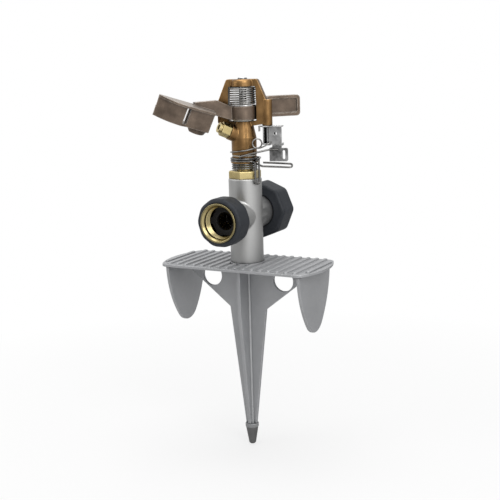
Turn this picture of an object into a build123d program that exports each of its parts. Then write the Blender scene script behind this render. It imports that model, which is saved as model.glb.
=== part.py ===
from build123d import *
from math import acos, atan2, ceil, cos, degrees, pi, radians, sin, sqrt
import os

# Impact sprinkler on a step spike. Millimetres, +Z up.
# The origin is on the riser axis at ground level, the underside of the step plate.
# -Y points out of the hose inlet, X runs along the step plate.

# Fits shared by several pieces
running_clearance = 0.06
slip_clearance = 0.05
face_gap = 0.1
free_gap = 0.3

# Step plate, blades and spike casting
plate_length = 127.0
plate_width = 66.0
plate_corner = 7.0
plate_bow = 8.5
plate_thickness = 2.2
rib_count = 16
rib_width = 4.0
rib_height = 1.3
rib_inset = 1.5
rib_end_margin = 3.75
rib_draft = 25.0
blade_inset = 1.75
blade_thickness = 2.5
blade_side_inset = 3.0
blade_waist_width = 50.0
blade_waist_depth = 24.0
blade_tip_width = 25.0
blade_tip_depth = 46.0
blade_depth = 52.0
fin_thickness = 3.0
fin_top_width = 34.0
fin_shoulder_depth = 37.0
fin_foot_width = 9.6
spike_depth = 138.5
web_end_depth = 3.0
web_bar = 2.2
web_post = 7.5
web_rim = 1.2
peg_radius = 2.4
peg_length = 6.0
point_radius = 5.6
point_land = 1.5
point_end_radius = 2.9
point_nose = 0.9
point_length = 18.5

# Riser and tee casting
riser_radius = 13.7
riser_top = 73.0
riser_edge = 0.8
spigot_radius = 10.0
spigot_height = 8.0
tee_height = 42.2
front_pipe_radius = 11.5
front_pipe_length = 28.3
front_pipe_draft = 2.0
front_pipe_blend = 2.5
rear_pipe_radius = 13.6
rear_pipe_length = 21.7
outlet_thread_radius = 13.2
outlet_thread_length = 17.2
water_bore = 8.0
riser_bore = 9.8

# Hose inlet swivel
inlet_face = 47.6
nut_length = 18.7
nut_radius = 15.3
lip_radius = 15.83
lip_length = 1.2
nut_shoulder = 2.1
hose_thread_radius = 13.2
hose_thread_length = 9.8
thread_relief = 0.5
mouth_radius = 14.65
mouth_chamfer = 1.8
tail_radius = 9.4
tail_engagement = 9.0
tail_flange_radius = 12.7
tail_flange = 1.6
hose_washer_thickness = 3.0
washer_body_radius = 11.5
washer_ear_width = 6.4
washer_ear_count = 6
washer_bore = 7.4
grip_flats = 38.8
grip_sides = 10
grip_corner = 12.0
grip_length = 17.6
grip_chamfer = 1.6

# Outlet cap
cap_flats = 45.0
cap_sides = 8
cap_corner = 6.0
cap_length = 22.0
cap_chamfer = 3.0
cap_rim_chamfer = 1.6
cap_end_wall = 2.6
cap_washer_thickness = 2.4

# Bearing
hex_flats = 23.4
hex_turn = 39.5
hex_height = 6.3
hex_chamfer = 0.7
nipple_thread_radius = 10.4
nipple_thread_length = 17.8
sleeve_radius = 6.5
sleeve_bore = 4.75
sleeve_engagement = 14.0
sleeve_flange_radius = 9.0
sleeve_flange = 2.0
bearing_washer_count = 3
bearing_washer_thickness = 0.95
bearing_spring_height = 6.3
bearing_spring_radius = 10.1
bearing_wire = 1.2
bearing_turns = 3
seat_radius = 10.0
seat_height = 5.6
seat_lip_radius = 11.2
seat_lip = 1.0
thrust_washer_thickness = 0.7

# Friction collars, bent from one wire each
collar_wire = 1.6
collar_arc = 300.0
collar_spacing = 1.75
lower_collar_angle = 20.0
upper_collar_angle = -23.0
handle_half_width = 2.1
handle_bend = 2.0
lead_bend = 3.0
lead_run = 7.2
lower_handle_drop = 4.8
lower_handle_start = 15.0
lower_handle_reach = 39.0
lower_handle_slope = 1.4
lower_handle_tilt = 2.4
upper_handle_radius = 15.9
upper_handle_drop = 20.1
upper_handle_return = 17.6

# Sprinkler body casting
head_angle = 14.0
barrel_radius = 10.3
barrel_height = 14.0
neck_radius = 7.4
neck_height = 27.4
chamber_height = 3.4
bridge_depth = 7.0
bridge_outer = 20.8
bridge_top_outer = 12.8
window_half = 11.7
window_top_half = 11.3
bridge_foot_drop = 4.0
bridge_foot_lip = 2.25
bridge_shoulder = 14.6
window_height = 27.7
bridge_top = 5.9
bridge_corner = 2.0
window_corner = 1.5
window_top_corner = 1.0
top_boss_radius = 9.5
top_boss_round = 2.5
trip_boss_radius = 4.15
trip_boss_offset = 20.0
trip_boss_rise = 17.2
trip_boss_drop = 4.0
jet_angle = 230.0
jet_elevation = 24.0
jet_height = 13.7
jet_boss_radius = 6.5
jet_boss_length = 13.8
jet_bore = 3.6

# Nozzle
nozzle_flats = 10.5
nozzle_hex_length = 7.6
nozzle_nose_radius = 4.3
nozzle_nose_length = 2.4
nozzle_throat = 2.2
nozzle_spigot_length = 7.0

# Fulcrum pin and arm pivot
pin_radius = 3.0
pin_seat = 6.9
pin_head_radius = 3.8
pin_head = 1.3
pin_head_edge = 0.4
arm_washer_radius = 8.5
arm_washer_thickness = 0.9
hub_radius = 11.0
hub_height = 11.0
bush_wall = 1.5
spring_seat_radius = 10.6
spring_seat_thickness = 0.8

# Arm casting: beam, spoon and counterweight
beam_thickness = 5.0
beam_tip_inset = 8.0
beam_tip = 2.6
beam_crown_reach = 23.0
beam_crown = 5.6
beam_tip_crown = 4.9
beam_belly_reach = 22.0
beam_belly = 3.6
spoon_radius = 50.0
spoon_height = 7.6
spoon_tilt = 18.0
spoon_roll = 18.0
scoop_start = 25.0
scoop_end = 6.0
scoop_front = 4.0
scoop_depth = 4.6
scoop_draft = 24.0
vane_thickness = 2.2
spoon_top = 8.4
spoon_bottom = 9.4
strip_thickness = 2.0
strip_lip = 1.4
spine_start = 7.0
spine_end = 3.2
inner_vane_start = 23.0
inner_vane_end = 2.6
inner_vane_offset = 5.2
outer_vane_start = 0.9
outer_vane_end = 24.0
outer_vane_offset = 6.4
outer_vane_bulge = 2.6
outer_vane_cross = 3.4
strip_width = 9.0
weight_start = 19.6
weight_end = 49.8
weight_low = 1.0
weight_high = 18.2
weight_thickness = 5.0
weight_corner = 3.0
weight_border = 2.8
weight_recess = 1.3
weight_neck_low = 1.5
weight_neck_high = 10.6

# Arm return spring
arm_spring_radius = 9.65
arm_wire = 1.2
arm_turns = 6
arm_spring_bend = 1.3

# Reverse trip
trip_pin_radius = 1.5
trip_pin_head_radius = 2.4
trip_pin_head = 0.8
trip_sheet = 1.0
lever_height = 15.0
lever_front = 5.0
lever_back = 3.5
lever_left = 3.4
lever_right = 12.6
lever_web_start = 2.2
lever_hole_radius = 1.2
lever_hole_drop = 6.0
stop_reach = 7.4
stop_width = 3.4
stop_height = 4.6
tongue_end = 17.6
tongue_height = 13.4
tongue_neck = 2.4
tongue_slot_length = 7.0
tongue_slot_width = 2.0
tongue_slot_inset = 3.4
tongue_corner = 1.6
rivet_radius = 1.2
rivet_head_radius = 2.1
rivet_head = 0.8
rivet_offset = 6.5
finger_wire = 1.5
finger_bend = 4.0
finger_root = 10.0
finger_heel = 2.0
finger_knee = 7.0
finger_knee_rise = 3.8
finger_reach = 21.3
finger_reach_rise = 6.8
finger_drop = 3.9
finger_slope = 5.2
trip_wire = 1.2
trip_bend = 1.3
trip_anchor_depth = 1.8
trip_anchor_angle = 170.0
trip_anchor_height = 1.8
trip_wrap_rise = 2.2
trip_loop_radius = 3.8
trip_loop_advance = 2.0
trip_loop_reach = 10.3
trip_loop_rise = 1.9
trip_hook_offset = 1.6
trip_hook_height = 2.0

# Sizes worked out from the ones above
rib_pitch = (plate_length - 2 * rib_end_margin - rib_width) / (rib_count - 1)
blade_centre = plate_length / 2 - blade_inset - blade_thickness / 2
blade_top_width = plate_width - 2 * blade_side_inset
beam_reach = spoon_radius - beam_tip_inset

# The web hole touches the bar under the plate, the post beside the fin and the rim along the slant
web_run = blade_centre - fin_top_width / 2
web_fall = fin_shoulder_depth - web_end_depth
web_slant = sqrt(web_run * web_run + web_fall * web_fall)
web_room = (web_run - web_post) * web_fall - (web_bar - web_end_depth) * web_run - web_rim * web_slant
web_hole_radius = web_room / (web_run + web_fall + web_slant)
web_hole_offset = fin_top_width / 2 + web_post + web_hole_radius
web_hole_depth = web_bar + web_hole_radius

# Levels up the riser axis and along the inlet and the outlet
riser_foot = plate_thickness + rib_height
hex_top = riser_top + hex_height
spring_top = hex_top + bearing_spring_height
seat_top = spring_top + seat_height
thrust_top = seat_top + face_gap + thrust_washer_thickness
body_foot = thrust_top + face_gap
barrel_top = body_foot + barrel_height
neck_top = body_foot + neck_height
arm_washer_top = neck_top + face_gap + arm_washer_thickness
hub_foot = arm_washer_top + face_gap
hub_top = hub_foot + hub_height
spring_seat_foot = hub_top + face_gap
spring_seat_top = spring_seat_foot + spring_seat_thickness
window_top = neck_top + window_height
crown_top = window_top + bridge_top
nipple_foot = riser_top - nipple_thread_length
bearing_washer_step = bearing_washer_thickness + slip_clearance
sleeve_foot = nipple_foot - bearing_washer_count * bearing_washer_step - slip_clearance
pin_bore = pin_radius + running_clearance
bush_radius = pin_bore + bush_wall
trip_foot = neck_top - trip_boss_drop
lever_top = trip_foot - face_gap
lever_foot = lever_top - lever_height
tongue_top = lever_foot - face_gap
nut_back = inlet_face - nut_length
nut_bore = tail_radius + running_clearance
flange_back = nut_back + nut_shoulder + face_gap
flange_front = flange_back + tail_flange
washer_back = flange_front + face_gap
thread_back = inlet_face - mouth_chamfer - hose_thread_length
relief_radius = hose_thread_radius + thread_relief
outlet_end = rear_pipe_length + outlet_thread_length
cap_washer_back = outlet_end + face_gap
cap_floor = cap_washer_back + cap_washer_thickness + face_gap
cap_back = cap_floor + cap_end_wall
cap_bore = outlet_thread_radius + free_gap


def polar(radius, angle, height=0.0):
    """Point at a radius and an angle in degrees about the riser axis."""
    return Vector(radius * cos(radians(angle)), radius * sin(radians(angle)), height)


def upright(angle, height=0.0):
    """Vertical plane through the riser axis: local x points along the angle, local y is up."""
    return Plane(origin=(0, 0, height), x_dir=polar(1, angle), z_dir=polar(1, angle - 90))


def biarc(start, start_tangent, end, end_tangent):
    """Two tangent arcs from one point and direction to another."""
    chord = end - start
    spread = start_tangent + end_tangent
    square = 2 * (start_tangent.dot(end_tangent) - 1)
    middle = chord.dot(spread)
    reach = chord.dot(chord) / (2 * middle)
    if abs(square) > 1e-9:
        reach = (middle - sqrt(middle * middle - square * chord.dot(chord))) / square
    leave = start + start_tangent * reach
    arrive = end - end_tangent * reach
    joint = (leave + arrive) * 0.5
    TangentArc(start, joint, tangent=start_tangent)
    TangentArc(joint, end, tangent=arrive - leave)


def helix_point(plane, radius, pitch, angle):
    """Point and direction on a helix about a plane's normal, at an angle in radians."""
    lead = pitch / (2 * pi)
    point = plane.from_local_coords(Vector(radius * cos(angle), radius * sin(angle), lead * angle))
    tip = plane.from_local_coords(Vector(-radius * sin(angle), radius * cos(angle), lead))
    return point, (tip - plane.origin).normalized()


def helix(plane, radius, pitch, turn):
    """Helix over an angle in radians, laid out as biarcs of a quarter turn or less."""
    pieces = ceil(turn / (pi / 2) - 1e-6)
    for piece in range(pieces):
        near = helix_point(plane, radius, pitch, turn * piece / pieces)
        far = helix_point(plane, radius, pitch, turn * (piece + 1) / pieces)
        biarc(*near, *far)


def least_gap(path, wire, skip):
    """Least gap between stretches of one wire that lie more than skip apart along it."""
    steps = round(path.length / wire)
    spacing = path.length / steps
    points = [path.position_at(step * spacing, PositionMode.LENGTH) for step in range(steps + 1)]
    apart = round(skip / spacing)
    pairs = [(a, b) for a in range(steps + 1) for b in range(a + apart, steps + 1)]
    return min((points[a] - points[b]).length for a, b in pairs) - wire


# Planes and axes of the sub-assemblies
tee_axis = Axis((0, 0, tee_height), (0, 1, 0))
inlet_plane = Plane(origin=(0, 0, tee_height), x_dir=(1, 0, 0), z_dir=(0, -1, 0))
outlet_plane = Plane(origin=(0, 0, tee_height), x_dir=(-1, 0, 0), z_dir=(0, 1, 0))
inlet_section = Plane(origin=(0, 0, tee_height), x_dir=(0, 0, 1), z_dir=(1, 0, 0))
head_plane = Plane(origin=(0, 0, 0), x_dir=polar(1, head_angle), z_dir=(0, 0, 1))
head_section = upright(head_angle)
trip_centre = head_plane.from_local_coords(Vector(trip_boss_offset, 0, 0))
trip_plane = Plane(origin=trip_centre, x_dir=polar(1, head_angle), z_dir=(0, 0, 1))
trip_section = Plane(origin=trip_centre, x_dir=polar(1, head_angle), z_dir=polar(1, head_angle - 90))
trip_wrap_radius = barrel_radius + free_gap + trip_wire / 2
trip_anchor = Plane(
    origin=(0, 0, body_foot + trip_anchor_height),
    x_dir=(0, 0, 1),
    z_dir=polar(1, head_angle + trip_anchor_angle),
)
arm_section = upright(jet_angle)
jet_direction = polar(cos(radians(jet_elevation)), jet_angle, sin(radians(jet_elevation)))
jet_plane = Plane(
    origin=(0, 0, body_foot + jet_height),
    x_dir=polar(1, jet_angle - 90),
    z_dir=jet_direction,
)
spoon_level = Plane(
    origin=polar(spoon_radius, jet_angle, hub_foot + spoon_height),
    x_dir=polar(cos(radians(spoon_tilt)), jet_angle, sin(radians(spoon_tilt))),
    z_dir=polar(-sin(radians(spoon_tilt)), jet_angle, cos(radians(spoon_tilt))),
)
spoon_up = spoon_level.z_dir * cos(radians(spoon_roll)) + spoon_level.y_dir * sin(radians(spoon_roll))
spoon_plane = Plane(origin=spoon_level.origin, x_dir=spoon_level.x_dir, z_dir=spoon_up)

# Step spike: ribbed plate, end blades, holed web and cross-shaped spike in one casting
with BuildPart() as step_spike:
    with BuildSketch(Plane.XY) as plate_outline:
        with BuildLine() as plate_edge:
            front_edge = Line((-plate_length / 2, -plate_width / 2), (plate_length / 2, -plate_width / 2))
            rear_edge = Line((plate_length / 2, plate_width / 2), (-plate_length / 2, plate_width / 2))
            ThreePointArc(front_edge @ 1, (plate_length / 2 + plate_bow, 0), rear_edge @ 0)
            ThreePointArc(rear_edge @ 1, (-plate_length / 2 - plate_bow, 0), front_edge @ 0)
        make_face()
        fillet(plate_outline.vertices(), plate_corner)
    extrude(amount=plate_thickness)
    with BuildSketch(Plane.XY.offset(plate_thickness)) as rib_rows:
        with GridLocations(rib_pitch, 0, rib_count, 1):
            SlotOverall(plate_width - 2 * rib_inset, rib_width, rotation=90)
    extrude(amount=rib_height, taper=rib_draft)
    with BuildSketch(Plane.XY.offset(plate_thickness)) as riser_pad:
        Circle(riser_radius + rib_height)
    extrude(amount=rib_height)
    with BuildSketch(Plane.XY.offset(riser_foot)) as riser_spigot:
        Circle(spigot_radius)
    extrude(amount=spigot_height)
    for side in (-1, 1):
        with BuildSketch(Plane.YZ.offset(side * blade_centre)) as blade:
            with BuildLine():
                top_right = (blade_top_width / 2, 0)
                top_left = (-blade_top_width / 2, 0)
                tip_right = (blade_tip_width / 2, -blade_tip_depth)
                tip_left = (-blade_tip_width / 2, -blade_tip_depth)
                Line(top_left, top_right)
                ThreePointArc(top_right, (blade_waist_width / 2, -blade_waist_depth), tip_right)
                ThreePointArc(tip_right, (0, -blade_depth), tip_left)
                ThreePointArc(tip_left, (-blade_waist_width / 2, -blade_waist_depth), top_left)
            make_face()
        extrude(amount=blade_thickness / 2, both=True)
    for fin_plane in (Plane.XZ, Plane.YZ):
        with BuildSketch(fin_plane) as fin:
            with BuildLine():
                Polyline(
                    (-fin_top_width / 2, 0),
                    (fin_top_width / 2, 0),
                    (fin_top_width / 2, -fin_shoulder_depth),
                    (fin_foot_width / 2, -spike_depth),
                    (-fin_foot_width / 2, -spike_depth),
                    (-fin_top_width / 2, -fin_shoulder_depth),
                    close=True,
                )
            make_face()
        extrude(amount=fin_thickness / 2, both=True)
    with BuildSketch(Plane.XZ) as web:
        with BuildLine():
            Polyline(
                (-blade_centre, 0),
                (blade_centre, 0),
                (blade_centre, -web_end_depth),
                (fin_top_width / 2, -fin_shoulder_depth),
                (-fin_top_width / 2, -fin_shoulder_depth),
                (-blade_centre, -web_end_depth),
                close=True,
            )
        make_face()
        with Locations((-web_hole_offset, -web_hole_depth), (web_hole_offset, -web_hole_depth)):
            Circle(web_hole_radius, mode=Mode.SUBTRACT)
    extrude(amount=fin_thickness / 2, both=True)
    with BuildSketch(Plane.XY.offset(-spike_depth)) as point_peg:
        Circle(peg_radius)
    extrude(amount=-peg_length)
step_spike.part.label = "step_spike"
export_step(step_spike.part, "parts/step_spike.step")

# Spike point: blunt cone pressed on the end of the spike
with BuildPart() as spike_point:
    with BuildSketch(Plane.XZ) as point_section:
        with BuildLine():
            Polyline(
                (peg_radius + slip_clearance, -spike_depth),
                (point_radius, -spike_depth),
                (point_radius, -spike_depth - point_land),
                (point_end_radius, -spike_depth - point_length + point_nose),
                (point_end_radius - point_nose, -spike_depth - point_length),
                (0, -spike_depth - point_length),
                (0, -spike_depth - peg_length - slip_clearance),
                (peg_radius + slip_clearance, -spike_depth - peg_length - slip_clearance),
                close=True,
            )
        make_face()
    revolve(axis=Axis.Z)
spike_point.part.label = "spike_point"
export_step(spike_point.part, "parts/spike_point.step")

# Riser tee: vertical tube with a hose pipe in front and a threaded outlet behind
with BuildPart() as riser_tee:
    with BuildSketch(Plane.XY.offset(riser_foot)) as riser_outline:
        Circle(riser_radius)
    extrude(amount=riser_top - riser_foot)
    chamfer(riser_tee.edges().group_by(Axis.Z)[-1], length=riser_edge)
    with BuildSketch(inlet_plane.offset(front_pipe_length)) as front_pipe:
        Circle(front_pipe_radius)
    extrude(amount=-front_pipe_length, taper=-front_pipe_draft)
    fillet(riser_tee.edges(Select.NEW).filter_by(GeomType.CIRCLE, reverse=True), radius=front_pipe_blend)
    with BuildSketch(outlet_plane) as rear_pipe:
        Circle(rear_pipe_radius)
    extrude(amount=rear_pipe_length)
    with BuildSketch(outlet_plane) as outlet_thread:
        Circle(outlet_thread_radius)
    extrude(amount=outlet_end)
    with BuildSketch(outlet_plane.offset(outlet_end)) as cross_bore:
        Circle(water_bore)
    extrude(amount=-outlet_end - front_pipe_length, mode=Mode.SUBTRACT)
    with BuildSketch(inlet_plane.offset(front_pipe_length)) as tail_socket:
        Circle(tail_radius + slip_clearance)
    extrude(amount=-tail_engagement, mode=Mode.SUBTRACT)
    with BuildSketch(Plane.XY.offset(tee_height)) as water_column:
        Circle(riser_bore)
    extrude(amount=riser_top - tee_height, mode=Mode.SUBTRACT)
    with BuildSketch(Plane.XY.offset(riser_top)) as nipple_socket:
        Circle(nipple_thread_radius + slip_clearance)
    extrude(amount=-nipple_thread_length, mode=Mode.SUBTRACT)
    with BuildSketch(Plane.XY.offset(riser_foot)) as spigot_socket:
        Circle(spigot_radius + slip_clearance)
    extrude(amount=spigot_height + slip_clearance, mode=Mode.SUBTRACT)
riser_tee.part.label = "riser_tee"
export_step(riser_tee.part, "parts/riser_tee.step")

# Swivel tailpiece: flanged tube that holds the hose nut on the tee
with BuildPart() as swivel_tailpiece:
    with BuildSketch(inlet_section) as tail_profile:
        with BuildLine():
            Polyline(
                (water_bore, front_pipe_length - tail_engagement),
                (tail_radius, front_pipe_length - tail_engagement),
                (tail_radius, flange_back),
                (tail_flange_radius, flange_back),
                (tail_flange_radius, flange_front),
                (water_bore, flange_front),
                close=True,
            )
        make_face()
    revolve(axis=tee_axis)
swivel_tailpiece.part.label = "swivel_tailpiece"
export_step(swivel_tailpiece.part, "parts/swivel_tailpiece.step")

# Inlet nut: female hose thread with a shoulder behind the tailpiece flange
with BuildPart() as inlet_nut:
    with BuildSketch(inlet_section) as nut_profile:
        with BuildLine():
            Polyline(
                (nut_bore, nut_back),
                (nut_radius, nut_back),
                (nut_radius, inlet_face - lip_length),
                (lip_radius, inlet_face - lip_length),
                (lip_radius, inlet_face),
                (mouth_radius, inlet_face),
                (hose_thread_radius, inlet_face - mouth_chamfer),
                (hose_thread_radius, thread_back),
                (relief_radius, thread_back),
                (relief_radius, nut_back + nut_shoulder),
                (nut_bore, nut_back + nut_shoulder),
                close=True,
            )
        make_face()
    revolve(axis=tee_axis)
inlet_nut.part.label = "inlet_nut"
export_step(inlet_nut.part, "parts/inlet_nut.step")

# Inlet grip: many-sided sleeve moulded round the nut
with BuildPart() as inlet_grip:
    with BuildSketch(inlet_plane.offset(inlet_face - lip_length)) as grip_outline:
        RegularPolygon(grip_flats / 2, grip_sides, major_radius=False)
        fillet(grip_outline.vertices(), radius=grip_corner)
    extrude(amount=-grip_length)
    chamfer(inlet_grip.edges().group_by(Axis.Y)[0], length=grip_chamfer)
    chamfer(inlet_grip.edges().group_by(Axis.Y)[-1], length=grip_chamfer)
    with BuildSketch(inlet_plane.offset(inlet_face - lip_length)) as nut_bed:
        Circle(nut_radius + slip_clearance)
    extrude(amount=-grip_length, mode=Mode.SUBTRACT)
inlet_grip.part.label = "inlet_grip"
export_step(inlet_grip.part, "parts/inlet_grip.step")

# Inlet washer: rubber hose washer with ears that hold it in the thread relief
with BuildPart() as inlet_washer:
    with BuildSketch(inlet_plane.offset(washer_back)) as washer_outline:
        Circle(washer_body_radius)
        with PolarLocations(washer_body_radius - washer_ear_width / 8, washer_ear_count):
            Circle(washer_ear_width / 2)
        Circle(relief_radius - slip_clearance, mode=Mode.INTERSECT)
        Circle(washer_bore, mode=Mode.SUBTRACT)
    extrude(amount=hose_washer_thickness)
inlet_washer.part.label = "inlet_washer"
export_step(inlet_washer.part, "parts/inlet_washer.step")

# Cap washer: rubber disc that seals the unused outlet
with BuildPart() as cap_washer:
    with BuildSketch(outlet_plane.offset(cap_washer_back)) as cap_washer_outline:
        Circle(outlet_thread_radius)
    extrude(amount=cap_washer_thickness)
cap_washer.part.label = "cap_washer"
export_step(cap_washer.part, "parts/cap_washer.step")

# Outlet cap: eight-sided screw cap
with BuildPart() as outlet_cap:
    with BuildSketch(outlet_plane.offset(cap_back - cap_length)) as cap_outline:
        RegularPolygon(cap_flats / 2, cap_sides, major_radius=False)
        fillet(cap_outline.vertices(), radius=cap_corner)
    extrude(amount=cap_length)
    chamfer(outlet_cap.edges().group_by(Axis.Y)[-1], length=cap_chamfer)
    chamfer(outlet_cap.edges().group_by(Axis.Y)[0], length=cap_rim_chamfer)
    with BuildSketch(outlet_plane.offset(cap_back - cap_length)) as cap_thread:
        Circle(cap_bore)
    extrude(amount=cap_length - cap_end_wall, mode=Mode.SUBTRACT)
outlet_cap.part.label = "outlet_cap"
export_step(outlet_cap.part, "parts/outlet_cap.step")

# Bearing nipple: hexagon and pipe thread, bored for the bearing sleeve
with BuildPart() as bearing_nipple:
    with BuildSketch(Plane.XY.offset(riser_top)) as nipple_hex:
        RegularPolygon(hex_flats / 2, 6, major_radius=False, rotation=hex_turn)
    extrude(amount=hex_height)
    chamfer(bearing_nipple.edges().group_by(Axis.Z)[-1], length=hex_chamfer)
    with BuildSketch(Plane.XY.offset(riser_top)) as nipple_thread:
        Circle(nipple_thread_radius)
    extrude(amount=-nipple_thread_length)
    with BuildSketch(Plane.XY.offset(hex_top)) as sleeve_bearing:
        Circle(sleeve_radius + running_clearance)
    extrude(amount=-hex_height - nipple_thread_length, mode=Mode.SUBTRACT)
bearing_nipple.part.label = "bearing_nipple"
export_step(bearing_nipple.part, "parts/bearing_nipple.step")

# Bearing washers: stack between the sleeve flange and the nipple
with BuildPart() as bearing_washers:
    for layer in range(bearing_washer_count):
        washer_foot = sleeve_foot + slip_clearance + layer * bearing_washer_step
        with BuildSketch(Plane.XY.offset(washer_foot)) as bearing_washer:
            Circle(sleeve_flange_radius)
            Circle(sleeve_radius + running_clearance, mode=Mode.SUBTRACT)
        extrude(amount=bearing_washer_thickness)
bearing_washers.part.label = "bearing_washers"
export_step(bearing_washers.part, "parts/bearing_washers.step")

# Bearing sleeve: flanged tube that turns with the head
with BuildPart() as bearing_sleeve:
    with BuildSketch(Plane.XZ) as sleeve_profile:
        with BuildLine():
            Polyline(
                (sleeve_bore, sleeve_foot - sleeve_flange),
                (sleeve_flange_radius, sleeve_foot - sleeve_flange),
                (sleeve_flange_radius, sleeve_foot),
                (sleeve_radius, sleeve_foot),
                (sleeve_radius, body_foot + sleeve_engagement),
                (sleeve_bore, body_foot + sleeve_engagement),
                close=True,
            )
        make_face()
    revolve(axis=Axis.Z)
bearing_sleeve.part.label = "bearing_sleeve"
export_step(bearing_sleeve.part, "parts/bearing_sleeve.step")

# Bearing spring: lies between the hexagon and the collar seat, each end with a straight tail
with BuildPart() as bearing_spring:
    bearing_pitch = (bearing_spring_height - bearing_wire - 2 * slip_clearance) / bearing_turns
    bearing_frame = Plane.XY.offset(hex_top + slip_clearance + bearing_wire / 2)
    with BuildLine() as bearing_path:
        first, first_tangent = helix_point(bearing_frame, bearing_spring_radius, bearing_pitch, 0)
        last, last_tangent = helix_point(
            bearing_frame, bearing_spring_radius, bearing_pitch, 2 * pi * bearing_turns
        )
        Line(first - first_tangent * bearing_wire, first)
        helix(bearing_frame, bearing_spring_radius, bearing_pitch, 2 * pi * bearing_turns)
        Line(last, last + last_tangent * bearing_wire)
    bearing_wire_path = bearing_path.wires()[0]
    with BuildSketch(Plane(origin=bearing_wire_path @ 0, z_dir=bearing_wire_path % 0)) as bearing_round:
        Circle(bearing_wire / 2)
    sweep(path=bearing_wire_path)
bearing_spring.part.label = "bearing_spring"
export_step(bearing_spring.part, "parts/bearing_spring.step")

# Collar seat: ring that carries the friction collars on a lip
with BuildPart() as collar_seat:
    with BuildSketch(Plane.XZ) as seat_profile:
        with BuildLine():
            Polyline(
                (sleeve_radius + running_clearance, spring_top),
                (seat_lip_radius, spring_top),
                (seat_lip_radius, spring_top + seat_lip),
                (seat_radius, spring_top + seat_lip),
                (seat_radius, seat_top),
                (sleeve_radius + running_clearance, seat_top),
                close=True,
            )
        make_face()
    revolve(axis=Axis.Z)
collar_seat.part.label = "collar_seat"
export_step(collar_seat.part, "parts/collar_seat.step")

# Thrust washer between the collar seat and the turning head
with BuildPart() as thrust_washer:
    with BuildSketch(Plane.XY.offset(seat_top + face_gap)) as thrust_outline:
        Circle(seat_radius)
        Circle(sleeve_radius + running_clearance, mode=Mode.SUBTRACT)
    extrude(amount=thrust_washer_thickness)
thrust_washer.part.label = "thrust_washer"
export_step(thrust_washer.part, "parts/thrust_washer.step")

# Friction collars: open wire rings, each with a hairpin handle that sets the arc
collar_radius = seat_radius + running_clearance + collar_wire / 2
lower_collar_height = spring_top + seat_lip + slip_clearance + collar_wire / 2
upper_collar_height = lower_collar_height + collar_spacing
lower_handle = Plane(
    origin=(0, 0, lower_collar_height), x_dir=polar(1, lower_collar_angle), z_dir=(0, 0, 1)
)
upper_handle = Plane(
    origin=(0, 0, upper_collar_height), x_dir=polar(1, upper_collar_angle), z_dir=(0, 0, -1)
)
lower_handle_end = lower_handle_drop + lower_handle_slope
with BuildPart() as lower_collar:
    with BuildLine(lower_handle) as lower_path:
        CenterArc((0, 0), collar_radius, -90 - collar_arc, collar_arc)
        FilletPolyline(
            (0, -collar_radius, 0),
            (lead_run, -collar_radius, 0),
            (lower_handle_start, -2 * handle_half_width, -lower_handle_drop),
            (lower_handle_reach, -handle_half_width, -lower_handle_end),
            (lower_handle_reach, handle_half_width, -lower_handle_end + lower_handle_tilt),
            (lower_handle_start, handle_half_width, -lower_handle_drop + lower_handle_tilt),
            radius=[lead_bend, lead_bend, handle_bend, handle_bend],
        )
    lower_wire = lower_path.wires()[0]
    with BuildSketch(Plane(origin=lower_wire @ 0, z_dir=lower_wire % 0)) as lower_round:
        Circle(collar_wire / 2)
    sweep(path=lower_wire)
lower_collar.part.label = "lower_collar"
export_step(lower_collar.part, "parts/lower_collar.step")

with BuildPart() as upper_collar:
    with BuildLine(upper_handle) as upper_path:
        CenterArc((0, 0), collar_radius, -90 - collar_arc, collar_arc)
        FilletPolyline(
            (0, -collar_radius, 0),
            (lead_run, -collar_radius, 0),
            (upper_handle_radius, -handle_half_width, 0),
            (upper_handle_radius, -handle_half_width, upper_handle_drop),
            (upper_handle_radius, handle_half_width, upper_handle_drop),
            (upper_handle_radius, handle_half_width, upper_handle_drop - upper_handle_return),
            radius=[lead_bend, lead_bend, handle_bend, handle_bend],
        )
    upper_wire = upper_path.wires()[0]
    with BuildSketch(Plane(origin=upper_wire @ 0, z_dir=upper_wire % 0)) as upper_round:
        Circle(collar_wire / 2)
    sweep(path=upper_wire)
upper_collar.part.label = "upper_collar"
export_step(upper_collar.part, "parts/upper_collar.step")

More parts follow.
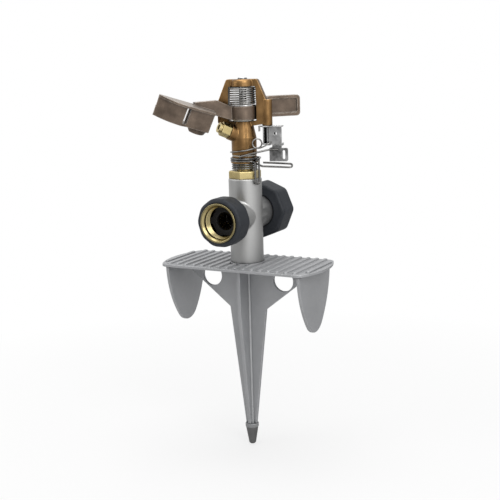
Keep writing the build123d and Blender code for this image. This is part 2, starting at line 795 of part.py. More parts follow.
# Sprinkler body: barrel, jet boss, bridge and trip boss in one casting
with BuildPart() as sprinkler_body:
    with BuildSketch(Plane.XZ) as barrel_profile:
        with BuildLine():
            Polyline(
                (0, body_foot),
                (barrel_radius, body_foot),
                (barrel_radius, barrel_top),
                (neck_radius, neck_top),
                (0, neck_top),
                close=True,
            )
        make_face()
    revolve(axis=Axis.Z)
    with BuildSketch(jet_plane) as jet_boss:
        Circle(jet_boss_radius)
    extrude(amount=jet_boss_length)
    with BuildSketch(head_section, mode=Mode.PRIVATE) as bridge_window:
        with BuildLine():
            Polyline(
                (-window_half, neck_top),
                (window_half, neck_top),
                (window_half, neck_top + bridge_shoulder),
                (window_top_half, window_top),
                (-window_top_half, window_top),
                (-window_half, neck_top + bridge_shoulder),
                close=True,
            )
        make_face()
        fillet(bridge_window.vertices().sort_by(Axis.Y)[-2:], radius=window_top_corner)
        fillet(bridge_window.vertices().sort_by(Axis.Y)[:4], radius=window_corner)
    with BuildSketch(head_section) as bridge:
        with BuildLine():
            Polyline(
                (-neck_radius, neck_top - bridge_foot_drop),
                (-bridge_outer, neck_top - bridge_foot_lip),
                (-bridge_outer, neck_top + bridge_shoulder),
                (-bridge_top_outer, crown_top),
                (bridge_top_outer, crown_top),
                (bridge_outer, neck_top + bridge_shoulder),
                (bridge_outer, neck_top - bridge_foot_lip),
                (neck_radius, neck_top - bridge_foot_drop),
                close=True,
            )
        make_face()
        fillet(bridge.vertices().sort_by(Axis.Y)[2:], radius=bridge_corner)
        add(bridge_window.sketch_local, mode=Mode.SUBTRACT)
    extrude(amount=bridge_depth / 2, both=True)
    with BuildSketch(Plane.XZ) as top_boss:
        with BuildLine():
            boss_rim = FilletPolyline(
                (0, crown_top),
                (top_boss_radius, crown_top),
                (top_boss_radius, window_top),
                radius=top_boss_round,
            )
            Polyline(boss_rim @ 1, (0, window_top), boss_rim @ 0)
        make_face()
    revolve(axis=Axis.Z)
    with BuildSketch(trip_plane.offset(trip_foot)) as trip_boss:
        Circle(trip_boss_radius)
    extrude(amount=trip_boss_drop + trip_boss_rise)
    with BuildSketch(Plane.XY.offset(body_foot)) as sleeve_socket:
        Circle(sleeve_radius + slip_clearance)
    extrude(amount=sleeve_engagement + slip_clearance, mode=Mode.SUBTRACT)
    with BuildSketch(Plane.XY.offset(body_foot + sleeve_engagement)) as chamber:
        Circle(sleeve_bore)
    extrude(amount=chamber_height, mode=Mode.SUBTRACT)
    with BuildSketch(jet_plane) as jet_passage:
        Circle(jet_bore)
    extrude(amount=jet_boss_length, mode=Mode.SUBTRACT)
    with BuildSketch(Plane.XY.offset(crown_top)) as upper_pin_hole:
        Circle(pin_radius + slip_clearance)
    extrude(amount=-bridge_top, mode=Mode.SUBTRACT)
    with BuildSketch(Plane.XY.offset(neck_top)) as lower_pin_hole:
        Circle(pin_radius + slip_clearance)
    extrude(amount=-pin_seat, mode=Mode.SUBTRACT)
    with BuildSketch(trip_anchor.offset(barrel_radius)) as anchor_hole:
        Circle(trip_wire / 2 + face_gap)
    extrude(amount=-trip_anchor_depth - slip_clearance, mode=Mode.SUBTRACT)
    with BuildSketch(trip_plane.offset(trip_foot)) as trip_pin_hole:
        Circle(trip_pin_radius + slip_clearance)
    extrude(amount=trip_boss_drop + trip_boss_rise, mode=Mode.SUBTRACT)
sprinkler_body.part.label = "sprinkler_body"
export_step(sprinkler_body.part, "parts/sprinkler_body.step")

# Nozzle: hexagon with a tapered nose, screwed into the jet boss
with BuildPart() as nozzle:
    with BuildSketch(jet_plane.offset(jet_boss_length)) as nozzle_hex:
        RegularPolygon(nozzle_flats / 2, 6, major_radius=False, rotation=30)
    extrude(amount=nozzle_hex_length)
    with BuildSketch(jet_plane.offset(jet_boss_length + nozzle_hex_length)) as nozzle_nose:
        Circle(nozzle_nose_radius)
    extrude(amount=nozzle_nose_length)
    with BuildSketch(jet_plane.offset(jet_boss_length)) as nozzle_spigot:
        Circle(jet_bore - slip_clearance)
    extrude(amount=-nozzle_spigot_length)
    with BuildSketch(jet_plane.offset(jet_boss_length - nozzle_spigot_length)) as nozzle_throat_line:
        Circle(nozzle_throat)
    extrude(
        amount=nozzle_spigot_length + nozzle_hex_length + nozzle_nose_length,
        mode=Mode.SUBTRACT,
    )
nozzle.part.label = "nozzle"
export_step(nozzle.part, "parts/nozzle.step")

# Fulcrum pin: headed pin through the bridge, the arm hub and the neck
with BuildPart() as fulcrum_pin:
    with BuildSketch(Plane.XY.offset(neck_top - pin_seat)) as pin_shank:
        Circle(pin_radius)
    extrude(amount=crown_top - neck_top + pin_seat)
    with BuildSketch(Plane.XY.offset(crown_top)) as pin_cap:
        Circle(pin_head_radius)
    extrude(amount=pin_head)
    chamfer(fulcrum_pin.edges().group_by(Axis.Z)[-1], length=pin_head_edge)
fulcrum_pin.part.label = "fulcrum_pin"
export_step(fulcrum_pin.part, "parts/fulcrum_pin.step")

# Arm washer under the hub
with BuildPart() as arm_washer:
    with BuildSketch(Plane.XY.offset(neck_top + face_gap)) as arm_washer_outline:
        Circle(arm_washer_radius)
        Circle(pin_bore, mode=Mode.SUBTRACT)
    extrude(amount=arm_washer_thickness)
arm_washer.part.label = "arm_washer"
export_step(arm_washer.part, "parts/arm_washer.step")

# Impact arm: hub, beam, spoon with two vanes, and recessed counterweight
with BuildPart() as impact_arm:
    with BuildSketch(Plane.XY.offset(hub_foot)) as hub:
        Circle(hub_radius)
    extrude(amount=hub_height)
    with BuildSketch(arm_section) as beam:
        with BuildLine():
            Polyline(
                (0, hub_foot),
                (hub_radius, hub_foot),
                (beam_belly_reach, hub_foot + beam_belly),
                (beam_reach, hub_top + beam_tip_crown - beam_tip),
                (beam_reach, hub_top + beam_tip_crown),
                (beam_crown_reach, hub_top + beam_crown),
                (hub_radius, hub_top),
                (0, hub_top),
                close=True,
            )
        make_face()
    extrude(amount=beam_thickness / 2, both=True)
    with BuildSketch(arm_section) as weight:
        with BuildLine():
            Polyline(
                (0, hub_foot + weight_neck_low),
                (-weight_start, hub_foot + weight_neck_low),
                (-weight_start, hub_foot + weight_neck_high),
                (0, hub_foot + weight_neck_high),
                close=True,
            )
        make_face()
        with Locations((-(weight_start + weight_end) / 2, hub_foot + (weight_low + weight_high) / 2)):
            RectangleRounded(weight_end - weight_start, weight_high - weight_low, weight_corner)
    extrude(amount=weight_thickness / 2, both=True)
    for side in (-1, 1):
        with BuildSketch(arm_section.offset(side * weight_thickness / 2)) as weight_field:
            with Locations((-(weight_start + weight_end) / 2, hub_foot + (weight_low + weight_high) / 2)):
                RectangleRounded(
                    weight_end - weight_start - 2 * weight_border,
                    weight_high - weight_low - 2 * weight_border,
                    weight_corner - weight_recess,
                )
        extrude(amount=-side * weight_recess, mode=Mode.SUBTRACT)
    with BuildSketch(spoon_plane.offset(-spoon_bottom)) as vanes:
        with BuildLine():
            Polyline(
                (-inner_vane_start, inner_vane_offset),
                (-inner_vane_end, inner_vane_offset),
                (-inner_vane_end, inner_vane_offset - vane_thickness),
                (-inner_vane_start, inner_vane_offset - vane_thickness),
                close=True,
            )
        make_face()
        with BuildLine():
            vane_middle = (outer_vane_start + outer_vane_end) / 2
            vane_rise = (outer_vane_offset - outer_vane_cross) / 2 + outer_vane_bulge
            face_arc = ThreePointArc(
                (outer_vane_start, outer_vane_offset),
                (vane_middle, vane_rise),
                (outer_vane_end, -outer_vane_cross),
            )
            back_arc = ThreePointArc(
                (outer_vane_start, outer_vane_offset - vane_thickness),
                (vane_middle, vane_rise - vane_thickness),
                (outer_vane_end - vane_thickness, -outer_vane_cross),
            )
            Line(face_arc @ 0, back_arc @ 0)
            Line(face_arc @ 1, back_arc @ 1)
        make_face()
        with BuildLine():
            spine_back = inner_vane_offset - strip_width
            Polyline(
                (-spine_start, spine_back),
                (-spine_end, spine_back),
                (-spine_end, spine_back + vane_thickness),
                (-spine_start, spine_back + vane_thickness),
                close=True,
            )
        make_face()
    extrude(amount=spoon_bottom + spoon_top)
    with BuildSketch(spoon_plane.offset(spoon_top - strip_thickness)) as top_strip:
        with BuildLine():
            strip_front = ThreePointArc(
                (outer_vane_start, outer_vane_offset + strip_lip),
                (vane_middle, vane_rise + strip_lip),
                (outer_vane_end, -outer_vane_cross + strip_lip),
            )
            Polyline(
                strip_front @ 1,
                (outer_vane_end, -outer_vane_cross),
                (vane_middle, -outer_vane_cross),
                (-inner_vane_start, spine_back),
                (-inner_vane_start, inner_vane_offset + strip_lip),
                strip_front @ 0,
            )
        make_face()
    extrude(amount=strip_thickness)
    with BuildSketch(spoon_plane.offset(-spoon_bottom)) as bottom_strip:
        with BuildLine():
            Polyline(
                face_arc @ 1,
                (vane_middle, -outer_vane_cross),
                (-inner_vane_start, spine_back),
                (-inner_vane_start, inner_vane_offset),
                (-inner_vane_end, inner_vane_offset),
                face_arc @ 0,
            )
            add(face_arc)
        make_face()
    extrude(amount=strip_thickness)
    with BuildSketch(spoon_plane.offset(-spoon_bottom)) as scoop:
        with BuildLine():
            scoop_lip = ThreePointArc(
                (-scoop_start, spine_back),
                (-(scoop_start + scoop_end) / 2, scoop_front),
                (-scoop_end, spine_back),
            )
            Line(scoop_lip @ 1, scoop_lip @ 0)
        make_face()
    extrude(amount=-scoop_depth, taper=scoop_draft)
    with BuildSketch(Plane.XY.offset(hub_foot)) as bush_bore:
        Circle(bush_radius + slip_clearance)
    extrude(amount=hub_height + beam_crown, mode=Mode.SUBTRACT)
impact_arm.part.label = "impact_arm"
export_step(impact_arm.part, "parts/impact_arm.step")

# Arm bush: turns on the fulcrum pin
with BuildPart() as arm_bush:
    with BuildSketch(Plane.XY.offset(hub_foot)) as bush_outline:
        Circle(bush_radius)
        Circle(pin_bore, mode=Mode.SUBTRACT)
    extrude(amount=hub_height)
arm_bush.part.label = "arm_bush"
export_step(arm_bush.part, "parts/arm_bush.step")

# Spring seat: washer on the hub under the return spring
with BuildPart() as spring_seat:
    with BuildSketch(Plane.XY.offset(spring_seat_foot)) as spring_seat_outline:
        Circle(spring_seat_radius)
        Circle(pin_bore, mode=Mode.SUBTRACT)
    extrude(amount=spring_seat_thickness)
spring_seat.part.label = "spring_seat"
export_step(spring_seat.part, "parts/spring_seat.step")

# Arm spring: torsion spring with an upright tang at each end
with BuildPart() as arm_spring:
    tang = arm_wire + slip_clearance
    coil_foot = spring_seat_top + tang + arm_spring_bend
    coil_top = window_top - tang - arm_spring_bend
    arm_pitch = (coil_top - coil_foot) / arm_turns
    arm_frame = Plane(origin=(0, 0, coil_foot), x_dir=polar(1, head_angle + 180), z_dir=(0, 0, 1))
    upward = Vector(0, 0, 1)
    with BuildLine() as arm_path:
        first, first_tangent = helix_point(arm_frame, arm_spring_radius, arm_pitch, 0)
        last, last_tangent = helix_point(arm_frame, arm_spring_radius, arm_pitch, 2 * pi * arm_turns)
        level = (first_tangent - upward * first_tangent.Z).normalized() * arm_spring_bend
        low = first - level - upward * arm_spring_bend
        high = last + level + upward * arm_spring_bend
        Line(low - upward * arm_wire, low)
        biarc(low, upward, first, first_tangent)
        helix(arm_frame, arm_spring_radius, arm_pitch, 2 * pi * arm_turns)
        biarc(last, last_tangent, high, upward)
        Line(high, high + upward * arm_wire)
    arm_wire_path = arm_path.wires()[0]
    with BuildSketch(Plane(origin=arm_wire_path @ 0, z_dir=arm_wire_path % 0)) as arm_round:
        Circle(arm_wire / 2)
    sweep(path=arm_wire_path)
arm_spring.part.label = "arm_spring"
export_step(arm_spring.part, "parts/arm_spring.step")

# Trip pin: hangs from the trip boss and carries the trip lever
with BuildPart() as trip_pin:
    pin_tail = lever_foot - trip_pin_head - face_gap
    with BuildSketch(trip_plane.offset(pin_tail)) as trip_shank:
        Circle(trip_pin_radius)
    extrude(amount=trip_foot + trip_boss_drop + trip_boss_rise - pin_tail)
    with BuildSketch(trip_plane.offset(pin_tail)) as trip_pin_foot:
        Circle(trip_pin_head_radius)
    extrude(amount=trip_pin_head)
trip_pin.part.label = "trip_pin"
export_step(trip_pin.part, "parts/trip_pin.step")

# Trip lever: folded sheet with two pin flanges, a holed face and a stop finger
with BuildPart() as trip_lever:
    for flange_foot in (lever_top - trip_sheet, lever_foot):
        with BuildSketch(trip_plane.offset(flange_foot)) as flange:
            with BuildLine():
                Polyline(
                    (-lever_left, -lever_front),
                    (lever_right, -lever_front),
                    (lever_right, lever_back),
                    (-lever_left, lever_back),
                    close=True,
                )
            make_face()
            Circle(trip_pin_radius + running_clearance, mode=Mode.SUBTRACT)
            with Locations((rivet_offset, 0)):
                Circle(rivet_radius + slip_clearance, mode=Mode.SUBTRACT)
        extrude(amount=trip_sheet)
    with BuildSketch(trip_section.offset(lever_front)) as lever_face:
        with BuildLine():
            Polyline(
                (lever_web_start, lever_foot),
                (lever_right, lever_foot),
                (lever_right, lever_top),
                (lever_web_start, lever_top),
                close=True,
            )
        make_face()
        with Locations(((lever_web_start + lever_right) / 2, lever_top - lever_hole_drop)):
            Circle(lever_hole_radius, mode=Mode.SUBTRACT)
    extrude(amount=-trip_sheet)
    with BuildSketch(trip_plane.offset(lever_top - trip_sheet)) as stop_arm:
        with Locations((-(stop_reach + lever_left) / 2, 0)):
            Rectangle(stop_reach - lever_left + slip_clearance, stop_width)
    extrude(amount=trip_sheet)
    with BuildSketch(trip_plane.offset(lever_top)) as stop_finger:
        with Locations((trip_sheet / 2 - stop_reach, 0)):
            Rectangle(trip_sheet, stop_width)
    extrude(amount=-stop_height)
trip_lever.part.label = "trip_lever"
export_step(trip_lever.part, "parts/trip_lever.step")

# Trip tongue: slotted sheet under the lever that meets the friction collars
with BuildPart() as trip_tongue:
    tongue_left = lever_web_start
    with BuildSketch(trip_plane.offset(tongue_top - trip_sheet)) as tongue_flange:
        with BuildLine():
            Polyline(
                (tongue_left + tongue_neck, -lever_front),
                (lever_right, -lever_front),
                (lever_right, lever_back),
                (tongue_left + tongue_neck, lever_back),
                close=True,
            )
        make_face()
        with Locations((rivet_offset, 0)):
            Circle(rivet_radius + slip_clearance, mode=Mode.SUBTRACT)
    extrude(amount=trip_sheet)
    with BuildSketch(trip_section.offset(lever_front)) as tongue_face:
        with BuildLine():
            Polyline(
                (tongue_left, tongue_top - tongue_height),
                (tongue_end, tongue_top - tongue_height),
                (tongue_end, tongue_top - tongue_neck),
                (lever_right, tongue_top - tongue_neck),
                (lever_right, tongue_top),
                (tongue_left + tongue_neck, tongue_top),
                (tongue_left + tongue_neck, tongue_top - tongue_neck),
                (tongue_left, tongue_top - tongue_neck),
                close=True,
            )
        make_face()
        fillet(tongue_face.vertices().sort_by(Axis.X)[-2:], radius=tongue_corner)
        with Locations((tongue_end - tongue_slot_inset, tongue_top - (tongue_height + tongue_neck) / 2)):
            SlotOverall(tongue_slot_length, tongue_slot_width, rotation=90, mode=Mode.SUBTRACT)
    extrude(amount=-trip_sheet)
    with BuildSketch(trip_plane.offset(tongue_top - tongue_height)) as tongue_side:
        with BuildLine():
            Polyline(
                (tongue_left, -lever_front),
                (tongue_left + trip_sheet, -lever_front),
                (tongue_left + trip_sheet, lever_back),
                (tongue_left, lever_back),
                close=True,
            )
        make_face()
    extrude(amount=tongue_height - tongue_neck)
trip_tongue.part.label = "trip_tongue"
export_step(trip_tongue.part, "parts/trip_tongue.step")

# Trip rivet: joins the tongue to the lever
with BuildPart() as trip_rivet:
    rivet_foot = tongue_top - trip_sheet
    rivet_top = lever_foot + trip_sheet
    rivet_plane = Plane(
        origin=trip_plane.from_local_coords(Vector(rivet_offset, 0, 0)),
        x_dir=polar(1, head_angle),
        z_dir=(0, 0, 1),
    )
    with BuildSketch(rivet_plane.offset(rivet_foot - rivet_head)) as rivet_lower:
        Circle(rivet_head_radius)
    extrude(amount=rivet_head)
    with BuildSketch(rivet_plane.offset(rivet_foot)) as rivet_shank:
        Circle(rivet_radius)
    extrude(amount=rivet_top - rivet_foot)
    with BuildSketch(rivet_plane.offset(rivet_top)) as rivet_upper:
        Circle(rivet_head_radius)
    extrude(amount=rivet_head)
trip_rivet.part.label = "trip_rivet"
export_step(trip_rivet.part, "parts/trip_rivet.step")

# Trip finger: stiff wire on the tongue that reaches round the front of the barrel
with BuildPart() as trip_finger:
    finger_front = lever_front + slip_clearance + finger_wire / 2
    finger_top = tongue_top - finger_drop
    with BuildLine(trip_plane) as finger_path:
        FilletPolyline(
            (finger_root, -finger_front, finger_top),
            (finger_heel, -finger_front, finger_top),
            (-finger_knee, -finger_front - finger_knee_rise, finger_top - finger_slope / 3),
            (-finger_reach, -finger_front - finger_reach_rise, finger_top - finger_slope),
            radius=finger_bend,
        )
    finger_wire_path = finger_path.wires()[0]
    with BuildSketch(Plane(origin=finger_wire_path @ 0, z_dir=finger_wire_path % 0)) as finger_round:
        Circle(finger_wire / 2)
    sweep(path=finger_wire_path)
trip_finger.part.label = "trip_finger"
export_step(trip_finger.part, "parts/trip_finger.step")

# Trip spring: hooked in the barrel, wound round its front, looped once and hooked on the lever
with BuildPart() as trip_spring:
    hook = trip_section.offset(lever_front + slip_clearance).from_local_coords(
        Vector(lever_web_start + trip_hook_offset, lever_foot + trip_hook_height, 0)
    )
    hook_direction = polar(1, head_angle + 90)
    hook_bend = hook - hook_direction * trip_wire
    hook_angle = degrees(atan2(hook.Y, hook.X))
    hook_reach = sqrt(hook.X * hook.X + hook.Y * hook.Y)
    leave_angle = hook_angle - degrees(acos(trip_wrap_radius / hook_reach))
    anchor_angle = head_angle + trip_anchor_angle
    bend_angle = degrees(trip_bend / trip_wrap_radius)
    wrap_turn = radians((leave_angle - anchor_angle - bend_angle) % 360)
    wrap_frame = Plane(
        origin=(0, 0, body_foot + trip_anchor_height),
        x_dir=polar(1, anchor_angle + bend_angle),
        z_dir=(0, 0, 1),
    )
    wrap_pitch = trip_wrap_rise * 2 * pi / wrap_turn
    outward = polar(1, leave_angle)
    along = polar(1, leave_angle + 90)
    wrap_end, wrap_tangent = helix_point(wrap_frame, trip_wrap_radius, wrap_pitch, wrap_turn)
    loop_frame = Plane(
        origin=wrap_end + along * trip_loop_reach + Vector(0, 0, trip_loop_rise + trip_loop_radius),
        x_dir=(0, 0, -1),
        z_dir=outward,
    )
    with BuildLine() as trip_path:
        anchor_start = trip_anchor.from_local_coords(Vector(0, 0, barrel_radius - trip_anchor_depth))
        anchor_bend = trip_anchor.from_local_coords(Vector(0, 0, trip_wrap_radius - trip_bend))
        Line(anchor_start, anchor_bend)
        wrap_start = helix_point(wrap_frame, trip_wrap_radius, wrap_pitch, 0)
        biarc(anchor_bend, trip_anchor.z_dir, *wrap_start)
        helix(wrap_frame, trip_wrap_radius, wrap_pitch, wrap_turn)
        loop_start = helix_point(loop_frame, trip_loop_radius, trip_loop_advance, 0)
        loop_end = helix_point(loop_frame, trip_loop_radius, trip_loop_advance, 2 * pi)
        biarc(wrap_end, wrap_tangent, *loop_start)
        helix(loop_frame, trip_loop_radius, trip_loop_advance, 2 * pi)
        biarc(*loop_end, hook_bend, hook_direction)
        Line(hook_bend, hook)
    trip_wire_path = trip_path.wires()[0]
    with BuildSketch(Plane(origin=trip_wire_path @ 0, z_dir=trip_wire_path % 0)) as trip_round:
        Circle(trip_wire / 2)
    sweep(path=trip_wire_path)
trip_spring.part.label = "trip_spring"
export_step(trip_spring.part, "parts/trip_spring.step")

bearing_gap = least_gap(bearing_wire_path, bearing_wire, pi * bearing_spring_radius)
arm_gap = least_gap(arm_wire_path, arm_wire, pi * arm_spring_radius)
trip_gap = least_gap(trip_wire_path, trip_wire, pi * trip_loop_radius)
print("bearing spring least gap", round(bearing_gap, 2))
print("arm spring least gap", round(arm_gap, 2))
print("trip spring least gap", round(trip_gap, 2))
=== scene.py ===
"""Dressed model of an impact sprinkler on a step spike, around its CAD frame."""

import logging
import math
from collections.abc import Iterable
from dataclasses import dataclass, replace
from enum import Enum

import bpy
from mathutils import Matrix, Vector


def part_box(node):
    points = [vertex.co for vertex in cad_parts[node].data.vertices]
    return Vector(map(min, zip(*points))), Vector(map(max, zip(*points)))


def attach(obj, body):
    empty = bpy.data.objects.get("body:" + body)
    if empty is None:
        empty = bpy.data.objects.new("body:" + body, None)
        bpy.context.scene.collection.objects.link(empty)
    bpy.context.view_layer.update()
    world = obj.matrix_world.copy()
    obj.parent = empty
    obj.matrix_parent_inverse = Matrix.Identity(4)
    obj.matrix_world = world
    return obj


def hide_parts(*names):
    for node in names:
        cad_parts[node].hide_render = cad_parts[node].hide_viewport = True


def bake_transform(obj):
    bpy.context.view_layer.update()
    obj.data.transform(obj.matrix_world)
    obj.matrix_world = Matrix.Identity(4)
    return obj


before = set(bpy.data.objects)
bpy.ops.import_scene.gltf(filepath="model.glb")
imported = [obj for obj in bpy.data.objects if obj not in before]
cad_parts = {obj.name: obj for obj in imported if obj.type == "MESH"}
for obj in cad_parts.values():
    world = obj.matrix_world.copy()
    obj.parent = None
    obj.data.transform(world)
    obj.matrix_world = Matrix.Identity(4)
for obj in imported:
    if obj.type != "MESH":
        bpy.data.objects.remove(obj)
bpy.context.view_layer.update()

log = logging.getLogger("sprinkler")

Colour = tuple[float, float, float]
Place = tuple[float, float, float]
Span = tuple[float, float]
Route = list[Vector]
Socket = bpy.types.NodeSocket
Piece = bpy.types.Object

MM = 0.001
UP = Vector((0, 0, 1))
WHITE = (1, 1, 1, 1)

# Sizes that several pieces share, in millimetres and degrees.
TEE_HEIGHT = 42.2
HEAD_ANGLE = 14.0
SLIP = 0.05

# How finely round things are drawn.
THREAD_STEPS = 64
TURN_STEPS = 28
WRAP_STEPS = 30
BEND_STEPS = 8
RIB_SIDES = 32
COLLAR_SIDES = 64
FLOOR_SIDES = 96

# Limits of the mesh clean-up, in millimetres and degrees.
WELD_MM = 0.0005
NODE_WELD_MM = 0.002
FLAT_ANGLE = 0.4
BEVEL_ANGLE = 32.0
BEVEL_SMOOTH_ANGLE = 50.0
WIRE_SMOOTH_ANGLE = 40.0
RIDGE_SMOOTH_ANGLE = 30.0

# Parts of a noise's range that a finish spreads out.
BROAD_NOISE: Span = (0.3, 0.7)
FINE_NOISE: Span = (0.35, 0.65)
RUB_NOISE: Span = (0.35, 0.6)
DUST_NOISE: Span = (0.4, 0.75)
MOTTLE_DETAIL = 6.0

# Cosines that tell an edge from a face, and a wall from a level face.
EDGE_COSINE: Span = (0.86, 0.985)
LEVEL_COSINE: Span = (0.45, 0.9)
CORNER_SAMPLES = 6
EDGE_SAMPLES = 4


class Body(Enum):
    """Bodies of the frame that the pieces ride on."""

    BASE = "base"
    COUPLING = "inlet_coupling"
    CAP_SEAL = "cap_seal"
    CAP = "cap"
    LOWER_COLLAR = "lower_collar"
    UPPER_COLLAR = "upper_collar"
    HEAD = "head"
    ARM = "arm"
    TRIP = "trip"


class Slot(Enum):
    """Material slots of the record."""

    CASTING = "casting"
    RISER = "riser"
    POINT = "point"
    BRASS = "brass"
    BRONZE = "bronze"
    ARM_BRONZE = "arm_bronze"
    PLATED = "plated_steel"
    WIRE = "wire"
    GRIP = "grip"
    RUBBER = "rubber"
    NYLON = "nylon"


class Marks(Enum):
    """Tool marks that a finish carries, by the axis they run round."""

    NONE = ""
    ROUND_Y = "Y"
    ROUND_Z = "Z"


class EdgeBreak(Enum):
    """Rounding of a piece's edges, in millimetres."""

    HAIR = 0.1
    FINE = 0.15
    CRISP = 0.2
    NEAT = 0.25
    SOFT = 0.3
    CAST = 0.35
    BLUNT = 0.4
    ROUND = 0.6


def srgb(red: int, green: int, blue: int) -> Colour:
    """Turn a screen colour of 0 to 255 into a linear one.

    Args:
        red: Red value.
        green: Green value.
        blue: Blue value.

    Returns:
        The linear colour.
    """
    steps = [value / 255 for value in (red, green, blue)]
    linear = [s / 12.92 if s <= 0.04045 else ((s + 0.055) / 1.055) ** 2.4 for s in steps]
    return linear[0], linear[1], linear[2]


class NodeBoard:
    """The node tree of a material or a world, with short ways to add and link nodes."""

    def __init__(self, owner: bpy.types.Material | bpy.types.World, place: str = "Object") -> None:
        """Take the owner's node tree and read places from it.

        Args:
            owner: Material or world to build.
            place: Kind of coordinates to read.
        """
        owner.use_nodes = True
        self.tree = owner.node_tree
        self.place = self.add("ShaderNodeTexCoord").outputs[place]

    @property
    def shader(self) -> bpy.types.Node:
        """Main shader of a material."""
        return self.tree.nodes["Principled BSDF"]

    def add(self, kind: str, **inputs: object) -> bpy.types.Node:
        """Add a node and fill its inputs.

        Args:
            kind: Node type.
            inputs: Values or sockets by input name, with _ for a space.

        Returns:
            The node.
        """
        return self.fill(self.tree.nodes.new(kind), **inputs)

    def fill(self, node: bpy.types.Node, **inputs: object) -> bpy.types.Node:
        """Fill the inputs of a node.

        Args:
            node: Node to fill.
            inputs: Values or sockets by input name, with _ for a space.

        Returns:
            The node.
        """
        for name, value in inputs.items():
            self.feed(node.inputs[name.replace("_", " ")], value)
        return node

    def feed(self, socket: Socket, value: object) -> None:
        """Link a socket to an output, or set it to a value.

        Args:
            socket: Socket to feed.
            value: Output or plain value.
        """
        if isinstance(value, Socket):
            self.tree.links.new(value, socket)
        else:
            socket.default_value = value

    def noise(self, size_mm: float, detail: float = 4.0) -> Socket:
        """Noise with features of a size.

        Args:
            size_mm: Size of a feature.
            detail: Octaves of finer noise.

        Returns:
            The noise value.
        """
        scale = 1 / (size_mm * MM)
        return self.add("ShaderNodeTexNoise", Vector=self.place, Detail=detail, Scale=scale).outputs["Fac"]

    def remap(self, value: Socket, span: Span, to: Span) -> Socket:
        """Stretch a part of a value's range onto another range.

        Args:
            value: Socket to read.
            span: Values that give the two ends.
            to: The two ends.

        Returns:
            The new value, held between the ends.
        """
        node = self.add(
            "ShaderNodeMapRange", Value=value, From_Min=span[0], From_Max=span[1], To_Min=to[0], To_Max=to[1]
        )
        return node.outputs["Result"]

    def mix(self, factor: object, first: object, second: object) -> Socket:
        """Blend two colours.

        Args:
            factor: Share of the second colour.
            first: Colour or socket.
            second: Colour or socket.

        Returns:
            The blended colour.
        """
        node = self.tree.nodes.new("ShaderNodeMix")
        node.data_type = "RGBA"
        self.feed(node.inputs["Factor"], factor)
        for socket, value in ((node.inputs[6], first), (node.inputs[7], second)):
            self.feed(socket, (*value, 1) if isinstance(value, tuple) else value)
        return node.outputs[2]

    def combine(self, operation: str, first: object, second: object) -> Socket:
        """Work out one value from two.

        Args:
            operation: Name of the operation.
            first: Value or socket.
            second: Value or socket.

        Returns:
            The result.
        """
        node = self.tree.nodes.new("ShaderNodeMath")
        node.operation = operation
        self.feed(node.inputs[0], first)
        self.feed(node.inputs[1], second)
        return node.outputs[0]

    def vector(self, operation: str, *inputs: object) -> bpy.types.Node:
        """Work on directions or places.

        Args:
            operation: Name of the operation.
            inputs: Directions, places or sockets.

        Returns:
            The node, with its Vector and Value outputs.
        """
        node = self.tree.nodes.new("ShaderNodeVectorMath")
        node.operation = operation
        for socket, value in zip(node.inputs, inputs):
            self.feed(socket, value)
        return node

    def dot(self, first: object, second: object) -> Socket:
        """Dot product of two directions."""
        return self.vector("DOT_PRODUCT", first, second).outputs["Value"]

    def normal(self) -> Socket:
        """Direction that the surface faces."""
        return self.add("ShaderNodeNewGeometry").outputs["Normal"]

    def corners(self, reach_mm: float) -> Socket:
        """How open a spot is.

        Args:
            reach_mm: How far off other faces count.

        Returns:
            A value from 0 in a tight corner to 1 on a free face.
        """
        node = self.add("ShaderNodeAmbientOcclusion", Distance=reach_mm * MM)
        node.samples = CORNER_SAMPLES
        return node.outputs["AO"]

    def edges(self, reach_mm: float) -> Socket:
        """How near a spot is to a sharp edge.

        Args:
            reach_mm: How far off an edge counts.

        Returns:
            A value from 0 on a face to 1 on the edge.
        """
        rounded = self.add("ShaderNodeBevel", Radius=reach_mm * MM)
        rounded.samples = EDGE_SAMPLES
        return self.remap(self.dot(rounded.outputs["Normal"], self.normal()), EDGE_COSINE, (1.0, 0.0))

    def upward(self, share: float) -> Socket:
        """How much painted top light a spot gets, from 0 on a wall to a share on a level face."""
        return self.remap(self.dot(self.normal(), tuple(UP)), LEVEL_COSINE, (0.0, share))

    def bump(self, height: Socket, depth_mm: float, normal: Socket | None = None) -> Socket:
        """Raise the surface by a height map.

        Args:
            height: Value from 0 to 1.
            depth_mm: Depth that 1 stands for.
            normal: Normal of an earlier bump.

        Returns:
            The new normal.
        """
        node = self.add("ShaderNodeBump", Height=height, Distance=depth_mm * MM)
        if normal is not None:
            self.feed(node.inputs["Normal"], normal)
        return node.outputs["Normal"]


@dataclass(frozen=True)
class Finish:
    """A surface that becomes one material, for one slot of the record."""

    name: str
    slot: Slot

    def material(self) -> bpy.types.Material:
        """Make the finish's material, or find it if it is there.

        Returns:
            The material.
        """
        if self.name in bpy.data.materials:
            return bpy.data.materials[self.name]
        material = bpy.data.materials.new(self.name)
        self.dress(NodeBoard(material))
        return material

    def dress(self, board: NodeBoard) -> None:
        """Build the nodes, which each kind of finish has of its own."""
        raise NotImplementedError


